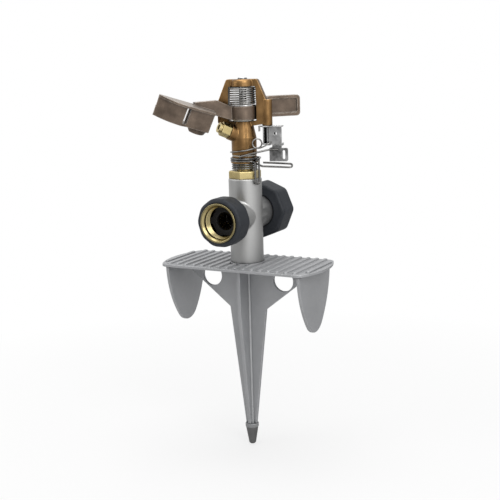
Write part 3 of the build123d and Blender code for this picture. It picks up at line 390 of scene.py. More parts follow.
@dataclass(frozen=True)
class MetalFinish(Finish):
    """A metal surface with mottled colour, grain, tool marks, grime and painted shade in corners, worn edges
    that carry a painted highlight, and painted top light on level faces.
    """

    clean: Colour
    tarnish: Colour
    # Colour of grime and painted shade in corners.
    grime_and_shade: Colour
    # Colour of worn edges, which also serves as a painted highlight.
    worn_and_highlight: Colour
    roughness: Span
    mottle_mm: float = 9.0
    speckle: float = 0.25
    grain_mm: float = 0.5
    grain_depth_mm: float = 0.05
    marks: Marks = Marks.NONE
    mark_pitch_mm: float = 0.35
    mark_depth_mm: float = 0.01
    mark_waver: float = 1.5
    # Reach and span of the grime and painted shade in corners.
    grime_and_shade_reach_mm: float = 3.0
    grime_and_shade_span: Span = (0.3, 0.9)
    # Reach and share of the edge wear and its painted highlight.
    wear_and_highlight_reach_mm: float = 0.5
    wear_and_highlight_share: Span = (0.25, 1.0)
    # Painted top light: the colour laid on level faces, and its share.
    dust_and_top_light: Colour = (0.5, 0.5, 0.5)
    top_light_share: float = 0.0
    dent_mm: float = 8.0
    dent_depth_mm: float = 0.0
    metallic: float = 1.0
    grains_per_streak: float = 5.0
    grains_per_speck: float = 1.6
    rubs_per_mottle: float = 3.0

    def dress(self, board: NodeBoard) -> None:
        """Build the metal's nodes.

        Args:
            board: Node board of the material.
        """
        streaks = board.noise(self.grain_mm * self.grains_per_streak)
        board.fill(
            board.shader, Base_Color=self.colour(board), Normal=self.relief(board), Metallic=self.metallic,
            Roughness=board.remap(streaks, BROAD_NOISE, self.roughness),
        )

    def colour(self, board: NodeBoard) -> Socket:
        """Mottle the metal, lighten its edges with wear and a painted highlight, lay painted top light on
        level faces and darken its corners with grime and painted shade.

        Args:
            board: Node board of the material.

        Returns:
            The colour.
        """
        patches = board.remap(board.noise(self.mottle_mm, MOTTLE_DETAIL), BROAD_NOISE, (0.0, 1.0))
        metal = board.mix(patches, self.tarnish, self.clean)
        specks = board.noise(self.grain_mm * self.grains_per_speck)
        metal = board.mix(board.remap(specks, FINE_NOISE, (self.speckle, 0.0)), metal, self.tarnish)
        rub = board.remap(board.noise(self.mottle_mm / self.rubs_per_mottle), RUB_NOISE, self.wear_and_highlight_share)
        # Lighter edges: wear, and a painted highlight.
        wear_and_highlight = board.combine("MULTIPLY", board.edges(self.wear_and_highlight_reach_mm), rub)
        metal = board.mix(wear_and_highlight, metal, self.worn_and_highlight)
        # Painted top light: level faces turn towards a lighter colour.
        if self.top_light_share:
            metal = board.mix(board.upward(self.top_light_share), metal, self.dust_and_top_light)
        # Painted shade, also standing for grime: closed-in corners darken.
        open_share = board.remap(board.corners(self.grime_and_shade_reach_mm), self.grime_and_shade_span, (0.0, 1.0))
        return board.mix(open_share, self.grime_and_shade, metal)

    def relief(self, board: NodeBoard) -> Socket:
        """Give the metal its grain, dents and tool marks.

        Args:
            board: Node board of the material.

        Returns:
            The normal.
        """
        normal = board.bump(board.noise(self.grain_mm), self.grain_depth_mm)
        if self.dent_depth_mm:
            normal = board.bump(board.noise(self.dent_mm, detail=1.0), self.dent_depth_mm, normal)
        if self.marks is Marks.NONE:
            return normal
        wave = board.add("ShaderNodeTexWave", Vector=board.place, Distortion=self.mark_waver)
        wave.bands_direction = self.marks.value
        wave.inputs["Scale"].default_value = 1 / (self.mark_pitch_mm * MM) / math.tau
        return board.bump(wave.outputs["Fac"], self.mark_depth_mm, normal)


@dataclass(frozen=True)
class MouldedFinish(Finish):
    """A moulded plastic or rubber surface with a fine grain, dust and rubbed edges."""

    colour: Colour
    dust: Colour
    rubbed: Colour
    roughness: Span
    grain_mm: float = 0.35
    grain_depth_mm: float = 0.03
    mottle_mm: float = 12.0
    dust_share: float = 0.3
    rub_reach_mm: float = 0.8
    rub_mm: float = 4.0
    rub_share: Span = (0.2, 0.9)
    gloss: float = 0.35
    grains_per_haze: float = 8.0

    def dress(self, board: NodeBoard) -> None:
        """Build the plastic's nodes.

        Args:
            board: Node board of the material.
        """
        # Dust laid at random; this finish has no painted top light.
        dust_and_top_light = board.remap(board.noise(self.mottle_mm, MOTTLE_DETAIL), DUST_NOISE, (0.0, self.dust_share))
        skin = board.mix(dust_and_top_light, self.colour, self.dust)
        patches = board.remap(board.noise(self.rub_mm), FINE_NOISE, self.rub_share)
        rub = board.combine("MULTIPLY", board.edges(self.rub_reach_mm), patches)
        haze = board.noise(self.grain_mm * self.grains_per_haze)
        board.fill(
            board.shader, Base_Color=board.mix(rub, skin, self.rubbed), Specular_IOR_Level=self.gloss,
            Normal=board.bump(board.noise(self.grain_mm), self.grain_depth_mm),
            Roughness=board.remap(haze, BROAD_NOISE, self.roughness),
        )


# Metal finishes: corners darken as grime and painted shade, edges lighten as wear and a painted highlight,
# and level faces may take painted top light.
ZINC = MetalFinish(
    "cast zinc", Slot.CASTING,
    clean=srgb(172, 173, 175), tarnish=srgb(163, 164, 166), grime_and_shade=srgb(92, 93, 96), worn_and_highlight=srgb(206, 207, 208),
    roughness=(0.48, 0.6), mottle_mm=26.0, grain_mm=0.6, wear_and_highlight_reach_mm=0.8, metallic=0.5,
    grime_and_shade_reach_mm=2.6, grime_and_shade_span=(0.5, 0.97),
)
# Lighter zinc with little corner darkening: a painted highlight along the spike's root fillets.
HIGHLIT_ZINC = replace(
    ZINC, name="zinc with painted highlight", clean=srgb(178, 179, 180), tarnish=srgb(170, 171, 172), grime_and_shade_span=(0.0, 0.4)
)
COLLAR_ZINC = replace(ZINC, name="collar zinc", clean=srgb(150, 151, 152), tarnish=srgb(142, 143, 144))
SATIN = MetalFinish(
    "satin riser", Slot.RISER,
    clean=srgb(184, 184, 183), tarnish=srgb(176, 176, 175), grime_and_shade=srgb(92, 92, 92), worn_and_highlight=srgb(204, 204, 203),
    roughness=(0.38, 0.46), mottle_mm=24.0, speckle=0.15, grain_mm=0.4, grain_depth_mm=0.02, metallic=0.95,
)
POINT = MetalFinish(
    "dark point", Slot.POINT,
    clean=srgb(130, 130, 130), tarnish=srgb(112, 112, 112), grime_and_shade=srgb(60, 60, 60), worn_and_highlight=srgb(150, 150, 149),
    roughness=(0.42, 0.58), grain_depth_mm=0.04, metallic=0.85,
)
BRASS = MetalFinish(
    "turned brass", Slot.BRASS,
    clean=srgb(210, 192, 140), tarnish=srgb(194, 176, 124), grime_and_shade=srgb(96, 78, 44), worn_and_highlight=srgb(228, 213, 168),
    roughness=(0.24, 0.34), speckle=0.05, grain_depth_mm=0.002, marks=Marks.ROUND_Z, mark_depth_mm=0.0008,
    dent_depth_mm=0.12,
)
INLET_BRASS = MetalFinish(
    "inlet brass", Slot.BRASS,
    clean=srgb(186, 172, 128), tarnish=srgb(168, 154, 110), grime_and_shade=srgb(58, 48, 30), worn_and_highlight=srgb(210, 198, 156),
    roughness=(0.22, 0.32), speckle=0.1, grain_mm=0.3, grain_depth_mm=0.004, marks=Marks.ROUND_Y,
    mark_depth_mm=0.003,
)
# Cast bronze: the long corner reach lays painted shade over much of the body.
BRONZE = MetalFinish(
    "cast bronze", Slot.BRONZE,
    clean=srgb(164, 128, 84), tarnish=srgb(122, 93, 59), grime_and_shade=srgb(40, 30, 19), worn_and_highlight=srgb(206, 174, 128),
    roughness=(0.28, 0.4), grain_depth_mm=0.03, wear_and_highlight_reach_mm=0.9, dent_depth_mm=0.2, grime_and_shade_reach_mm=7.0,
    grime_and_shade_span=(0.25, 1.0),
)
# Arm bronze: the long corner reach darkens the beam beside the spoon and hub with painted shade, and the pale
# colour on level faces is painted top light.
ARM_BRONZE = MetalFinish(
    "arm bronze", Slot.ARM_BRONZE,
    clean=srgb(134, 117, 102), tarnish=srgb(92, 79, 68), grime_and_shade=srgb(30, 25, 22), worn_and_highlight=srgb(202, 192, 181),
    roughness=(0.3, 0.42), speckle=0.4, wear_and_highlight_reach_mm=1.2, dent_mm=11.0, dent_depth_mm=0.25,
    dust_and_top_light=srgb(186, 178, 170), top_light_share=0.7, grime_and_shade_reach_mm=8.0, grime_and_shade_span=(0.2, 1.0), metallic=0.6,
)
# Plated sheet: the near-white colour on level faces is painted top light.
PLATED = MetalFinish(
    "plated sheet", Slot.PLATED,
    clean=srgb(206, 206, 206), tarnish=srgb(138, 138, 138), grime_and_shade=srgb(36, 35, 34), worn_and_highlight=srgb(246, 246, 245),
    roughness=(0.12, 0.22), mottle_mm=8.0, speckle=0.1, grain_mm=0.3, grain_depth_mm=0.004, dent_mm=6.0,
    dent_depth_mm=0.6, wear_and_highlight_reach_mm=0.8, dust_and_top_light=srgb(246, 246, 246), top_light_share=0.7,
)
# Darker copy of the plated sheet for the tongue: painted shade.
SHADED_PLATED = replace(
    PLATED, name="plated sheet with painted shade", clean=srgb(176, 176, 176), tarnish=srgb(92, 92, 92),
    grime_and_shade=srgb(26, 25, 24), mottle_mm=6.0, dent_mm=5.0, dent_depth_mm=0.7, dust_and_top_light=srgb(240, 240, 240),
    top_light_share=0.6,
)
# Collar wire: darker than bare steel, a painted shade that stands for the dark reflections in the wire.
WIRE = MetalFinish(
    "collar wire", Slot.WIRE,
    clean=srgb(126, 125, 123), tarnish=srgb(106, 105, 103), grime_and_shade=srgb(30, 29, 28), worn_and_highlight=srgb(156, 155, 153),
    roughness=(0.16, 0.26), mottle_mm=4.0, speckle=0.1, grain_mm=0.25, grain_depth_mm=0.004,
    grime_and_shade_reach_mm=2.0,
)
# Spring steel: also darkened below bare steel, as painted shade for dark reflections.
SPRING = replace(
    WIRE, name="spring steel", clean=srgb(146, 145, 142), tarnish=srgb(124, 122, 119), grime_and_shade=srgb(16, 15, 14),
    worn_and_highlight=srgb(176, 175, 172), roughness=(0.14, 0.24),
)
GRIP = MouldedFinish(
    "grip plastic", Slot.GRIP,
    colour=srgb(41, 44, 49), dust=srgb(60, 63, 69), rubbed=srgb(84, 87, 92),
    roughness=(0.46, 0.58), gloss=0.27,
)
RUBBER = MouldedFinish(
    "washer rubber", Slot.RUBBER,
    colour=srgb(24, 24, 25), dust=srgb(44, 44, 45), rubbed=srgb(58, 58, 59),
    roughness=(0.6, 0.75), grain_depth_mm=0.02,
)
NYLON = MouldedFinish(
    "bearing nylon", Slot.NYLON,
    colour=srgb(196, 194, 186), dust=srgb(170, 166, 156), rubbed=srgb(214, 212, 205),
    roughness=(0.45, 0.6), grain_depth_mm=0.01,
)


def deselect_all() -> None:
    """Deselect everything before an operator or a new primitive."""
    bpy.ops.object.select_all(action="DESELECT")


def activate(obj: Piece) -> None:
    """Make an object the only selected one, and the active one.

    Args:
        obj: Object to select.
    """
    deselect_all()
    obj.select_set(True)
    bpy.context.view_layer.objects.active = obj


def name_new(name: str) -> Piece:
    """Name the primitive that was just added.

    Args:
        name: Name of the object and its mesh.

    Returns:
        The object.
    """
    obj = bpy.context.object
    obj.name = obj.data.name = name
    return obj


def copy_piece(obj: Piece, name: str, move: Matrix) -> Piece:
    """Copy an object with a mesh of its own.

    Args:
        obj: Object to copy.
        name: Name of the copy and its mesh.
        move: How the copy's mesh is moved or turned.

    Returns:
        The copy.
    """
    twin = bpy.data.objects.new(name, obj.data.copy())
    twin.data.name = name
    twin.data.transform(move)
    bpy.context.scene.collection.objects.link(twin)
    return twin


def join_pieces(first: Piece, others: Iterable[Piece]) -> None:
    """Join objects into one.

    Args:
        first: Object that stays.
        others: Objects that become part of it.
    """
    activate(first)
    for other in others:
        other.select_set(True)
    bpy.ops.object.join()


def apply_modifier(obj: Piece, kind: str, **settings: object) -> None:
    """Add a modifier to an object and apply it.

    Args:
        obj: Object to change.
        kind: Modifier type.
        settings: Modifier settings by name.
    """
    activate(obj)
    modifier = obj.modifiers.new(kind.lower(), kind)
    for name, value in settings.items():
        setattr(modifier, name, value)
    bpy.ops.object.modifier_apply(modifier=modifier.name)


def close_mesh(obj: Piece, smooth_angle: float) -> None:
    """Merge doubles, close three-sided ends, turn faces outwards and shade smooth up to an angle.

    Args:
        obj: Object to finish.
        smooth_angle: Largest angle that is shaded smooth, in degrees.
    """
    activate(obj)
    bpy.ops.object.mode_set(mode="EDIT")
    bpy.ops.mesh.select_all(action="SELECT")
    bpy.ops.mesh.remove_doubles(threshold=WELD_MM * MM)
    bpy.ops.mesh.fill_holes(sides=3)
    bpy.ops.mesh.normals_make_consistent(inside=False)
    bpy.ops.object.mode_set(mode="OBJECT")
    bpy.ops.object.shade_smooth_by_angle(angle=math.radians(smooth_angle))


def node_box(node: str) -> tuple[Vector, Vector]:
    """Lowest and highest corner of a CAD node, in metres."""
    low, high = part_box(node)
    return Vector(low), Vector(high)


def node_copy(node: str, name: str) -> Piece:
    """Copy a CAD node's mesh into a new object, merged and with flat faces joined.

    Args:
        node: Name of the CAD node.
        name: Name of the new object.

    Returns:
        The new object.
    """
    obj = bpy.data.objects.new(name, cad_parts[node].data.copy())
    obj.data.materials.clear()
    bpy.context.scene.collection.objects.link(obj)
    activate(obj)
    bpy.ops.mesh.customdata_custom_splitnormals_clear()
    bpy.ops.object.mode_set(mode="EDIT")
    bpy.ops.mesh.select_all(action="SELECT")
    bpy.ops.mesh.remove_doubles(threshold=NODE_WELD_MM * MM)
    bpy.ops.mesh.dissolve_limited(angle_limit=math.radians(FLAT_ANGLE))
    bpy.ops.object.mode_set(mode="OBJECT")
    return obj


def round_edges(obj: Piece, edges: EdgeBreak, segments: int = 2) -> None:
    """Round an object's sharp edges and keep its flat faces flat.

    Args:
        obj: Object to change.
        edges: Size of the rounding.
        segments: Faces across the rounding.
    """
    apply_modifier(
        obj, "BEVEL", width=edges.value * MM, segments=segments, limit_method="ANGLE",
        angle_limit=math.radians(BEVEL_ANGLE), use_clamp_overlap=False,
    )
    activate(obj)
    bpy.ops.object.shade_smooth_by_angle(angle=math.radians(BEVEL_SMOOTH_ANGLE))
    apply_modifier(obj, "WEIGHTED_NORMAL", keep_sharp=True)


def finish_piece(obj: Piece, body: Body | None, finish: Finish, *nodes: str) -> Piece:
    """Dress a piece, hang it on its body and let it stand for its CAD nodes.

    Args:
        obj: The piece.
        body: Body that it rides on, or None to leave it unattached.
        finish: Finish to give it.
        nodes: CAD nodes that it replaces.

    Returns:
        The piece.
    """
    obj.data.materials.clear()
    obj.data.materials.append(finish.material())
    if body is not None:
        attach(obj, body.value)
    if nodes:
        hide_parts(*nodes)
    log.info("piece %s: %d faces", obj.name, len(obj.data.polygons))
    return obj


def polar(radius: float, degrees: float, height: float = 0.0) -> Vector:
    """Point about the riser axis, in millimetres."""
    angle = math.radians(degrees)
    return Vector((radius * math.cos(angle), radius * math.sin(angle), height))


def join_smoothly(start: Vector, leave: Vector, end: Vector, arrive: Vector) -> Route:
    """Points of a smooth run between two points with given directions.

    Args:
        start: First point.
        leave: Direction at the first point.
        end: Last point.
        arrive: Direction at the last point.

    Returns:
        The points between the two, without them.
    """
    reach = (end - start).length
    first, last = leave.normalized() * reach, arrive.normalized() * reach
    points = []
    for step in range(1, BEND_STEPS):
        t = step / BEND_STEPS
        points.append(
            start * (2 * t**3 - 3 * t**2 + 1)
            + first * (t**3 - 2 * t**2 + t)
            + end * (3 * t**2 - 2 * t**3)
            + last * (t**3 - t**2)
        )
    return points


def wire_piece(name: str, route: Route, wire_mm: float) -> Piece:
    """Draw a round wire along a route.

    Args:
        name: Name of the piece.
        route: Points in millimetres.
        wire_mm: Diameter of the wire.

    Returns:
        The wire as a mesh with closed ends.
    """
    curve = bpy.data.curves.new(name, "CURVE")
    curve.dimensions = "3D"
    curve.bevel_depth = wire_mm * MM / 2
    curve.bevel_resolution = 3
    curve.use_fill_caps = True
    spline = curve.splines.new("POLY")
    spline.points.add(len(route) - 1)
    for spot, point in zip(spline.points, route):
        spot.co = (*(point * MM), 1)
    obj = bpy.data.objects.new(name, curve)
    bpy.context.scene.collection.objects.link(obj)
    activate(obj)
    bpy.ops.object.convert(target="MESH")
    close_mesh(obj, WIRE_SMOOTH_ANGLE)
    return obj


def coil(radius: float, pitch: float, turns: float, foot: float, start: float) -> Route:
    """Points of an upright coil.

    Args:
        radius: Radius at the middle of the wire.
        pitch: Rise of a turn.
        turns: Number of turns.
        foot: Height of the first point.
        start: Angle of the first point, in degrees.

    Returns:
        The points, in millimetres.
    """
    steps = round(turns * TURN_STEPS)
    shares = [turns * step / steps for step in range(steps + 1)]
    return [polar(radius, start + 360 * share, foot + pitch * share) for share in shares]


def flat_triangle(name: str, corners: Route) -> Piece:
    """Lay a flat triangle to extrude or wind.

    Args:
        name: Name of the object.
        corners: Its three corners, in millimetres.

    Returns:
        The triangle.
    """
    deselect_all()
    bpy.ops.mesh.primitive_circle_add(vertices=3, radius=MM, fill_type="NGON")
    obj = name_new(name)
    for vertex, corner in zip(obj.data.vertices, corners):
        vertex.co = corner.to_3d() * MM
    return obj


@dataclass(frozen=True)
class ScrewThread:
    """Ridge of a screw thread round the tee's axis, which runs along Y."""

    name: str
    foot_radius: float
    crest_radius: float
    half_width: float
    start: float
    turns: int
    pitch: float

    def wind(self) -> Piece:
        """Wind the ridge along the axis.

        Returns:
            The ridge as a closed mesh.
        """
        corners = [
            Vector((self.foot_radius, self.start - self.half_width)),
            Vector((self.foot_radius, self.start + self.half_width)),
            Vector((self.crest_radius, self.start)),
        ]
        obj = flat_triangle(self.name, corners)
        apply_modifier(
            obj, "SCREW", axis="Y", angle=math.tau, screw_offset=self.pitch * MM, iterations=self.turns,
            steps=THREAD_STEPS, render_steps=THREAD_STEPS,
        )
        obj.data.transform(Matrix.Translation((0, 0, TEE_HEIGHT * MM)))
        close_mesh(obj, RIDGE_SMOOTH_ANGLE)
        return obj


@dataclass(frozen=True)
class Mould:
    """How much a mould rounds the edges and fills the corners of what it gives."""

    voxel_mm: float
    passes: int
    kept_faces: float

    def soften(self, obj: Piece) -> None:
        """Round an object as this mould does.

        Args:
            obj: Object to change.
        """
        apply_modifier(obj, "REMESH", mode="VOXEL", voxel_size=self.voxel_mm * MM)
        apply_modifier(obj, "SMOOTH", factor=0.5, iterations=self.passes)
        apply_modifier(obj, "DECIMATE", ratio=self.kept_faces)
        activate(obj)
        bpy.ops.object.shade_smooth()


PLASTIC_MOULD = Mould(voxel_mm=0.5, passes=14, kept_faces=0.4)
BODY_MOULD = Mould(voxel_mm=0.25, passes=12, kept_faces=0.35)
ARM_MOULD = Mould(voxel_mm=0.22, passes=8, kept_faces=0.35)


@dataclass
class CadPiece:
    """A CAD node that is copied, dressed and hung on its body."""

    node: str
    body: Body
    finish: Finish


@dataclass
class DressedNode(CadPiece):
    """A CAD node that keeps its shape and gets rounded edges."""

    edges: EdgeBreak = EdgeBreak.CRISP
    segments: int = 2

    def build(self) -> Piece:
        """Copy the node, round it and dress it.

        Returns:
            The piece.
        """
        obj = node_copy(self.node, f"{self.node}_dressed")
        round_edges(obj, self.edges, self.segments)
        return finish_piece(obj, self.body, self.finish, self.node)


@dataclass
class MouldedNode(CadPiece):
    """A CAD node whose edges and corners all come out of the mould rounded."""

    mould: Mould

    def build(self) -> Piece:
        """Copy the node, soften it and dress it.

        Returns:
            The piece.
        """
        obj = node_copy(self.node, f"{self.node}_moulded")
        self.mould.soften(obj)
        return finish_piece(obj, self.body, self.finish, self.node)


@dataclass
class StepSpikeUnit:
    """Step plate, blades, spike, riser and tee."""

    plate_top: float = 2.2
    end_rib_place: float = 65.45
    end_rib_length: float = 46.0
    rib_width: float = 4.0
    rib_height: float = 1.3
    rib_draft: float = 0.6
    rib_sink: float = 0.3
    fin_thickness: float = 3.0
    spike_depth: float = 138.5
    fillet_leg: float = 1.2
    fillet_sink: float = 0.2
    collar_height: float = 3.4
    collar_proud: float = 0.1

    def build(self) -> None:
        """Build the pieces that stay in the ground."""
        DressedNode("step_spike", Body.BASE, ZINC, EdgeBreak.CAST).build()
        self.end_ribs()
        self.root_fillets()
        self.point_collar()
        DressedNode("spike_point", Body.BASE, POINT, EdgeBreak.BLUNT, segments=3).build()
        DressedNode("riser_tee", Body.BASE, SATIN, EdgeBreak.CAST).build()

    def end_ribs(self) -> None:
        """Raise one short rib on each bowed end of the step plate."""
        half = self.rib_width / 2
        stretch = self.end_rib_length / 2 - half
        deselect_all()
        bpy.ops.mesh.primitive_cylinder_add(vertices=RIB_SIDES, radius=half * MM, depth=self.rib_height * MM)
        left = name_new("left_end_rib")
        for vertex in left.data.vertices:
            if vertex.co.z > 0:
                vertex.co.xy *= 1 - self.rib_draft / half
            vertex.co.y += math.copysign(stretch * MM, vertex.co.y)
        height = self.plate_top + self.rib_height / 2 - self.rib_sink / 2
        left.data.transform(Matrix.Translation((-self.end_rib_place * MM, 0, height * MM)))
        round_edges(left, EdgeBreak.CAST)
        across = Matrix.Translation((2 * self.end_rib_place * MM, 0, 0))
        for rib in (left, copy_piece(left, "right_end_rib", across)):
            finish_piece(rib, Body.BASE, ZINC)

    def root_fillets(self) -> Piece:
        """Fill the four corners where the spike's fins cross.

        Returns:
            The four strips as one piece.
        """
        near = self.fin_thickness / 2 - self.fillet_sink
        far = self.fin_thickness / 2 + self.fillet_leg
        corners = [Vector((near, near)), Vector((far, near)), Vector((near, far))]
        strip = flat_triangle("root_fillets", corners)
        bpy.ops.object.mode_set(mode="EDIT")
        bpy.ops.mesh.select_all(action="SELECT")
        bpy.ops.mesh.extrude_region_move(TRANSFORM_OT_translate={"value": -UP * self.spike_depth * MM})
        bpy.ops.object.mode_set(mode="OBJECT")
        close_mesh(strip, RIDGE_SMOOTH_ANGLE)
        quarters = [Matrix.Rotation(quarter * math.pi / 2, 4, "Z") for quarter in (1, 2, 3)]
        join_pieces(strip, [copy_piece(strip, "fillet", quarter) for quarter in quarters])
        # The lighter zinc paints a highlight on the fillets.
        return finish_piece(strip, Body.BASE, HIGHLIT_ZINC)

    def point_collar(self) -> Piece:
        """Turn the pale collar at the head of the spike's point.

        Returns:
            The collar.
        """
        low, high = node_box("spike_point")
        depth = self.collar_height * MM
        radius = (high.x - low.x) / 2 + self.collar_proud * MM
        deselect_all()
        bpy.ops.mesh.primitive_cylinder_add(vertices=COLLAR_SIDES, radius=radius, depth=depth)
        obj = name_new("point_collar")
        obj.data.transform(Matrix.Translation((0, 0, high.z + self.collar_proud * MM - depth / 2)))
        round_edges(obj, EdgeBreak.ROUND, segments=3)
        return finish_piece(obj, Body.BASE, COLLAR_ZINC)


@dataclass
class HoseInlet:
    """Swivel nut with its grip, thread and washer."""

    thread: ScrewThread = ScrewThread(
        "hose_thread", foot_radius=13.3, crest_radius=12.45, half_width=0.8, start=-37.2, turns=3, pitch=-2.2
    )

    def build(self) -> None:
        """Build the hose coupling."""
        DressedNode("inlet_nut", Body.COUPLING, INLET_BRASS).build()
        MouldedNode("inlet_grip", Body.COUPLING, GRIP, PLASTIC_MOULD).build()
        DressedNode("inlet_washer", Body.COUPLING, RUBBER, EdgeBreak.SOFT).build()
        DressedNode("swivel_tailpiece", Body.BASE, INLET_BRASS).build()
        finish_piece(self.thread.wind(), Body.COUPLING, INLET_BRASS)


@dataclass
class CappedOutlet:
    """Screw cap and its washer on the unused outlet."""

    thread: ScrewThread = ScrewThread(
        "outlet_thread", foot_radius=12.9, crest_radius=13.4, half_width=0.7, start=24.0, turns=6, pitch=2.2
    )

    def build(self) -> None:
        """Build the cap and the thread it screws on."""
        finish_piece(self.thread.wind(), Body.BASE, SATIN)
        MouldedNode("outlet_cap", Body.CAP, GRIP, PLASTIC_MOULD).build()
        DressedNode("cap_washer", Body.CAP_SEAL, RUBBER, EdgeBreak.SOFT).build()


@dataclass
class Bearing:
    """Hexagon nipple, spring and friction collars under the head."""

    hex_top: float = 79.3
    spring_radius: float = 10.1
    spring_wire: float = 1.2
    spring_height: float = 6.3
    spring_turns: int = 3

    def build(self) -> None:
        """Build the bearing and its collars."""
        DressedNode("bearing_nipple", Body.BASE, BRASS, EdgeBreak.NEAT).build()
        DressedNode("bearing_washers", Body.BASE, NYLON, EdgeBreak.HAIR).build()
        DressedNode("bearing_sleeve", Body.HEAD, BRASS).build()
        DressedNode("collar_seat", Body.BASE, BRONZE).build()
        DressedNode("thrust_washer", Body.BASE, NYLON, EdgeBreak.HAIR).build()
        DressedNode("lower_collar", Body.LOWER_COLLAR, WIRE, EdgeBreak.FINE).build()
        DressedNode("upper_collar", Body.UPPER_COLLAR, WIRE, EdgeBreak.FINE).build()
        self.spring()

    def spring(self) -> Piece:
        """Wind the bearing spring with a straight tail at each end.

        Returns:
            The spring.
        """
        pitch = (self.spring_height - self.spring_wire - 2 * SLIP) / self.spring_turns
        foot = self.hex_top + SLIP + self.spring_wire / 2
        route = coil(self.spring_radius, pitch, self.spring_turns, foot, 0.0)
        tail = (route[1] - route[0]).normalized() * self.spring_wire
        lead = (route[-1] - route[-2]).normalized() * self.spring_wire
        obj = wire_piece("bearing_coil", [route[0] - tail, *route, route[-1] + lead], self.spring_wire)
        return finish_piece(obj, Body.BASE, WIRE, "bearing_spring")


@dataclass
class SprinklerHead:
    """Body casting with its nozzle, fulcrum pin and return spring."""

    seat_top: float = 132.5
    window_top: float = 147.2
    spring_radius: float = 10.0
    spring_wire: float = 1.2
    spring_turns: int = 6
    closed_turn: float = 1.25
    seam_angles: tuple[float, float] = (-51.5, 128.5)
    seam_width: float = 0.8
    seam_profile: tuple[tuple[float, float], ...] = ((10.25, 98.5), (10.25, 106.1), (7.4, 119.0))

    def build(self) -> None:
        """Build the turning head."""
        self.casting()
        DressedNode("nozzle", Body.HEAD, BRASS, EdgeBreak.SOFT).build()
        DressedNode("fulcrum_pin", Body.HEAD, PLATED).build()
        DressedNode("arm_washer", Body.HEAD, NYLON, EdgeBreak.HAIR).build()
        DressedNode("trip_pin", Body.HEAD, PLATED).build()
        self.return_spring()

    def casting(self) -> Piece:
        """Cast the body with the mould's seam up both sides of its barrel.

        Returns:
            The casting.
        """
        body = node_copy("sprinkler_body", "body_casting")
        seams = []
        for angle in self.seam_angles:
            route = [polar(radius, angle, height) for radius, height in self.seam_profile]
            seams.append(wire_piece("seam", route, self.seam_width))
        join_pieces(body, seams)
        BODY_MOULD.soften(body)
        return finish_piece(body, Body.HEAD, BRONZE, "sprinkler_body")

    def return_spring(self) -> Piece:
        """Wind the arm's return spring with a closed turn at each end.

        Returns:
            The spring.
        """
        foot = self.seat_top + SLIP + self.spring_wire / 2
        top = self.window_top - SLIP - self.spring_wire / 2
        rise = top - foot - 2 * self.closed_turn
        start = HEAD_ANGLE + 180
        turns = coil(self.spring_radius, rise / self.spring_turns, self.spring_turns, foot, start)
        ends = coil(self.spring_radius, self.closed_turn, 1, foot, start)
        to_turns = UP * self.closed_turn
        to_top = UP * (rise + self.closed_turn)
        route = [*ends[:-1], *(spot + to_turns for spot in turns), *(spot + to_top for spot in ends[1:])]
        obj = wire_piece("return_coil", route, self.spring_wire)
        finish_piece(obj, None, SPRING)
        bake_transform(obj)
        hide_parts("arm_spring")
        return obj


@dataclass
class ImpactArm:
    """Arm casting with its bush and spring seat."""

    def build(self) -> None:
        """Build the swinging arm."""
        MouldedNode("impact_arm", Body.ARM, ARM_BRONZE, ARM_MOULD).build()
        DressedNode("arm_bush", Body.ARM, NYLON, EdgeBreak.FINE).build()
        DressedNode("spring_seat", Body.ARM, PLATED, EdgeBreak.FINE).build()


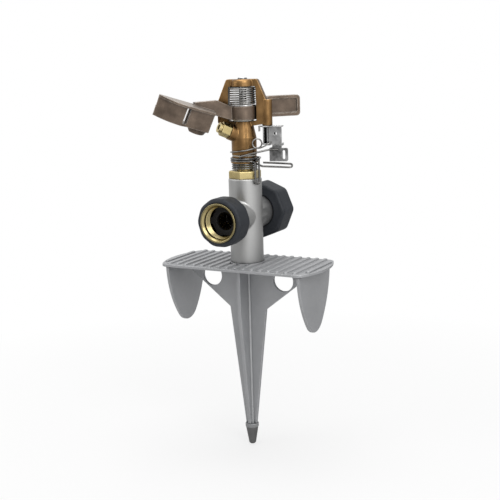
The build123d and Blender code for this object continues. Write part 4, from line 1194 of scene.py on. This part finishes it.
@dataclass
class ReverseTrip:
    """Folded lever, slotted tongue and trip spring."""

    wire: float = 1.2
    anchor_angle: float = 170.0
    anchor_height: float = 93.9
    anchor_reach: float = 8.5
    wrap_radius: float = 11.2
    wrap_rise: float = 2.2
    bend: float = 1.3
    loop_radius: float = 3.8
    loop_advance: float = 2.0
    loop_reach: float = 10.3
    loop_rise: float = 1.9
    hook: Place = (23.8, -5.05, 102.4)
    sheet: float = 1.0
    side_wall_left: float = -3.4
    side_wall_front: float = -3.0
    side_wall_back: float = 3.5
    rear_wall_end: float = 6.0

    def build(self) -> None:
        """Build the part-circle trip."""
        self.lever()
        # The tongue's darker plating is painted shade.
        DressedNode("trip_tongue", Body.TRIP, SHADED_PLATED, EdgeBreak.SOFT, segments=3).build()
        DressedNode("trip_finger", Body.TRIP, WIRE, EdgeBreak.FINE).build()
        DressedNode("trip_rivet", Body.TRIP, PLATED).build()
        self.spring()

    def lever(self) -> Piece:
        """Fold the lever round its pin: the node's flanges and face, with a side and a rear wall.

        Returns:
            The lever.
        """
        lever = node_copy("trip_lever", "trip_lever_dressed")
        left, back = self.side_wall_left, self.side_wall_back
        inside = left + self.sheet
        walls = [
            self.wall("side", Vector((left, self.side_wall_front)), Vector((inside, back))),
            self.wall("rear", Vector((inside, back - self.sheet)), Vector((self.rear_wall_end, back))),
        ]
        round_edges(lever, EdgeBreak.SOFT, segments=3)
        join_pieces(lever, walls)
        return finish_piece(lever, Body.TRIP, PLATED, "trip_lever")

    def wall(self, name: str, low: Vector, high: Vector) -> Piece:
        """Stand a sheet wall between the lever's two flanges.

        Args:
            name: Name of the wall.
            low: Lowest corner in plan, from the pin's axis.
            high: Highest corner in plan.

        Returns:
            The wall, in its place.
        """
        lever_low, lever_high = node_box("trip_lever")
        axis = sum(node_box("trip_pin"), Vector()) / 2
        turn = Matrix.Rotation(math.radians(HEAD_ANGLE), 4, "Z")
        middle = axis + turn @ ((low + high) / 2 * MM).to_3d()
        middle.z = (lever_low.z + lever_high.z) / 2
        size = ((high - low) * MM).to_3d()
        size.z = lever_high.z - lever_low.z - 2 * (self.sheet - SLIP) * MM
        deselect_all()
        bpy.ops.mesh.primitive_cube_add(size=1.0)
        obj = name_new(name)
        obj.data.transform(Matrix.Translation(middle) @ turn @ Matrix.Diagonal(size.to_4d()))
        round_edges(obj, EdgeBreak.FINE)
        return obj

    def spring(self) -> Piece:
        """Wind the trip spring round the barrel and through its loop to the lever.

        Returns:
            The spring.
        """
        hook = Matrix.Rotation(math.radians(HEAD_ANGLE), 3, "Z") @ Vector(self.hook)
        inward = polar(1, HEAD_ANGLE + 90)
        hook_bend = hook - inward * self.wire
        reach = math.hypot(hook.x, hook.y)
        leave = math.degrees(math.atan2(hook.y, hook.x) - math.acos(self.wrap_radius / reach))
        start = HEAD_ANGLE + self.anchor_angle
        anchor = polar(self.anchor_reach, start, self.anchor_height)
        corner = polar(self.wrap_radius - self.bend, start, self.anchor_height)
        wrap = self.wrap(start, leave)
        centre = wrap[-1] + polar(1, leave + 90) * self.loop_reach + UP * (self.loop_rise + self.loop_radius)
        loop = self.loop(centre, leave)
        route = [
            anchor,
            corner,
            *join_smoothly(corner, polar(1, start), wrap[0], wrap[1] - wrap[0]),
            *wrap,
            *join_smoothly(wrap[-1], wrap[-1] - wrap[-2], loop[0], loop[1] - loop[0]),
            *loop,
            *join_smoothly(loop[-1], loop[-1] - loop[-2], hook_bend, inward),
            hook_bend,
            hook,
        ]
        obj = wire_piece("trip_coil", route, self.wire)
        finish_piece(obj, None, SPRING)
        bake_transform(obj)
        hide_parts("trip_spring")
        return obj

    def wrap(self, start: float, leave: float) -> Route:
        """Points of the spring's part turn round the barrel.

        Args:
            start: Angle of the anchor, in degrees.
            leave: Angle at which the wire leaves the barrel, in degrees.

        Returns:
            The points, in millimetres.
        """
        bend = math.degrees(self.bend / self.wrap_radius)
        sweep = (leave - start - bend) % 360
        points = []
        for step in range(WRAP_STEPS + 1):
            share = step / WRAP_STEPS
            height = self.anchor_height + self.wrap_rise * share
            points.append(polar(self.wrap_radius, start + bend + sweep * share, height))
        return points

    def loop(self, centre: Vector, leave: float) -> Route:
        """Points of the spring's upright loop beside the barrel.

        Args:
            centre: Middle of the loop.
            leave: Angle at which the wire leaves the barrel, in degrees.

        Returns:
            The points, in millimetres.
        """
        outward, along = polar(1, leave), polar(1, leave + 90)
        points = []
        for step in range(TURN_STEPS + 1):
            share = step / TURN_STEPS
            angle = math.tau * share
            spot = along * math.sin(angle) - UP * math.cos(angle)
            points.append(centre + spot * self.loop_radius + outward * (self.loop_advance * share))
        return points


@dataclass(frozen=True)
class Lamp:
    """A square soft lamp that faces the riser, in millimetres and watts."""

    name: str
    place: Place
    size: float
    power: float

    def hang(self) -> None:
        """Add the lamp to the scene."""
        light = bpy.data.lights.new(self.name, "AREA")
        light.size = self.size * MM
        light.energy = self.power
        obj = bpy.data.objects.new(self.name, light)
        bpy.context.scene.collection.objects.link(obj)
        obj.location = Vector(self.place) * MM
        obj.rotation_euler = obj.location.to_track_quat("Z", "Y").to_euler()


@dataclass
class Studio:
    """Pale floor, soft lamps and the camera at the photograph's place."""

    lamps: tuple[Lamp, ...] = (
        Lamp("key", (620, -520, 520), size=560, power=3.2),
        Lamp("fill", (-620, -560, 360), size=480, power=1.4),
        Lamp("top", (-80, 60, 900), size=700, power=4.0),
    )
    floor_height: float = -157.6
    floor_radius: float = 6000.0
    floor_shade: float = 0.86
    floor_roughness: float = 0.9
    floor_fade: Span = (160.0, 500.0)
    floor_glow: Span = (0.7, 1.0)
    azimuth: float = 28.445
    elevation: float = 10.894
    roll: float = 1.63
    distance: float = 882.661
    aim_side: float = 2.334
    aim_height: float = 12.253
    lens: float = 76.27
    sensor: float = 36.0
    room_light: float = 0.5
    side_wall: float = 0.36
    front_wall: float = 0.7
    rear_wall: float = 0.4
    ceiling: float = 0.6
    wall_falloff: float = 1.6
    bright_wall: Place = (0.84, -0.54, 0.0)

    def build(self) -> None:
        """Set up the floor, the light and the camera."""
        self.floor()
        self.world()
        for lamp in self.lamps:
            lamp.hang()
        self.camera()
        bpy.context.scene.view_settings.view_transform = "Standard"

    def walls(self, board: NodeBoard, towards: Socket) -> Socket:
        """Brightness of the studio that a mirror sees: a bright front, shaded sides and a pale ceiling.

        Args:
            board: Node board of the wall or floor.
            towards: Direction from the object.

        Returns:
            The brightness.
        """
        facing = board.dot(towards, self.bright_wall)
        away = board.combine("MULTIPLY", facing, -1.0)
        front, rear = (
            board.combine("POWER", board.combine("MAXIMUM", side, 0.0), self.wall_falloff)
            for side in (facing, away)
        )
        above = board.combine("MAXIMUM", board.dot(towards, tuple(UP)), 0.0)
        light = self.side_wall
        for share, strength in ((front, self.front_wall), (rear, self.rear_wall), (above, self.ceiling)):
            light = board.combine("ADD", light, board.combine("MULTIPLY", share, strength))
        return light

    def backdrop(self, board: NodeBoard, towards: Socket) -> tuple[Socket, ...]:
        """What the camera and mirrors see behind the object.

        Args:
            board: Node board of the wall or floor.
            towards: Direction from the object.

        Returns:
            Whether the ray is one of these, and the brightness it sees: white for the camera.
        """
        path = board.add("ShaderNodeLightPath").outputs
        mirrored = board.combine("MAXIMUM", path["Is Glossy Ray"], path["Is Transmission Ray"])
        seen = board.combine("MAXIMUM", path["Is Camera Ray"], mirrored)
        shade = self.walls(board, towards)
        white = board.combine("MULTIPLY", board.combine("SUBTRACT", 1.0, shade), path["Is Camera Ray"])
        return seen, board.combine("ADD", shade, white)

    def floor(self) -> None:
        """Lay a round floor that keeps the shadow and fades into the background."""
        deselect_all()
        bpy.ops.mesh.primitive_circle_add(
            vertices=FLOOR_SIDES, radius=self.floor_radius * MM, fill_type="NGON",
            location=(0, 0, self.floor_height * MM),
        )
        obj = name_new("floor")
        bpy.ops.object.transform_apply(location=True)
        material = bpy.data.materials.new("pale floor")
        board = NodeBoard(material)
        shade = (self.floor_shade, self.floor_shade, self.floor_shade, 1)
        board.fill(board.shader, Base_Color=shade, Roughness=self.floor_roughness)
        towards = board.vector("NORMALIZE", board.place).outputs["Vector"]
        seen, brightness = self.backdrop(board, towards)
        glow = board.add("ShaderNodeEmission", Strength=brightness)
        near, far = (reach * MM for reach in self.floor_fade)
        length = board.vector("LENGTH", board.place).outputs["Value"]
        fade = board.remap(length, (near, far), self.floor_glow)
        blend = board.add("ShaderNodeMixShader", Fac=board.combine("MULTIPLY", fade, seen))
        board.feed(blend.inputs[1], board.shader.outputs[0])
        board.feed(blend.inputs[2], glow.outputs[0])
        board.feed(board.tree.nodes["Material Output"].inputs["Surface"], blend.outputs[0])
        obj.data.materials.append(material)

    def world(self) -> None:
        """Light the room softly, with white behind the object and shaded walls in the metal."""
        world = bpy.data.worlds.new("studio")
        board = NodeBoard(world, "Generated")
        bpy.context.scene.world = world
        soft = board.fill(board.tree.nodes["Background"], Color=WHITE, Strength=self.room_light)
        seen, brightness = self.backdrop(board, board.place)
        white = board.add("ShaderNodeBackground", Color=WHITE, Strength=brightness)
        blend = board.add("ShaderNodeMixShader", Fac=seen)
        board.feed(blend.inputs[1], soft.outputs[0])
        board.feed(blend.inputs[2], white.outputs[0])
        board.feed(board.tree.nodes["World Output"].inputs["Surface"], blend.outputs[0])

    def camera(self) -> None:
        """Set the camera to the photograph's view."""
        az, el, roll = (math.radians(angle) for angle in (self.azimuth, self.elevation, self.roll))
        back = Vector((math.sin(az) * math.cos(el), -math.cos(az) * math.cos(el), math.sin(el)))
        side = Vector((math.cos(az), math.sin(az), 0))
        rise = back.cross(side)
        right = side * math.cos(roll) - rise * math.sin(roll)
        up = side * math.sin(roll) + rise * math.cos(roll)
        aim = side * self.aim_side + UP * self.aim_height
        data = bpy.data.cameras.new("camera")
        data.sensor_width = self.sensor
        data.lens = self.lens
        obj = bpy.data.objects.new("camera", data)
        bpy.context.scene.collection.objects.link(obj)
        turn = Matrix((right, up, back)).transposed().to_4x4()
        obj.matrix_world = Matrix.Translation((aim + back * self.distance) * MM) @ turn
        bpy.context.scene.camera = obj


def main() -> None:
    """Build the sub-assemblies in order, then the studio; each piece logs its face count."""
    logging.basicConfig(level=logging.INFO, format="%(name)s: %(message)s")
    units = (
        StepSpikeUnit(), HoseInlet(), CappedOutlet(), Bearing(), SprinklerHead(), ImpactArm(), ReverseTrip()
    )
    for unit in units:
        unit.build()
    Studio().build()


if __name__ == "__main__":
    main()
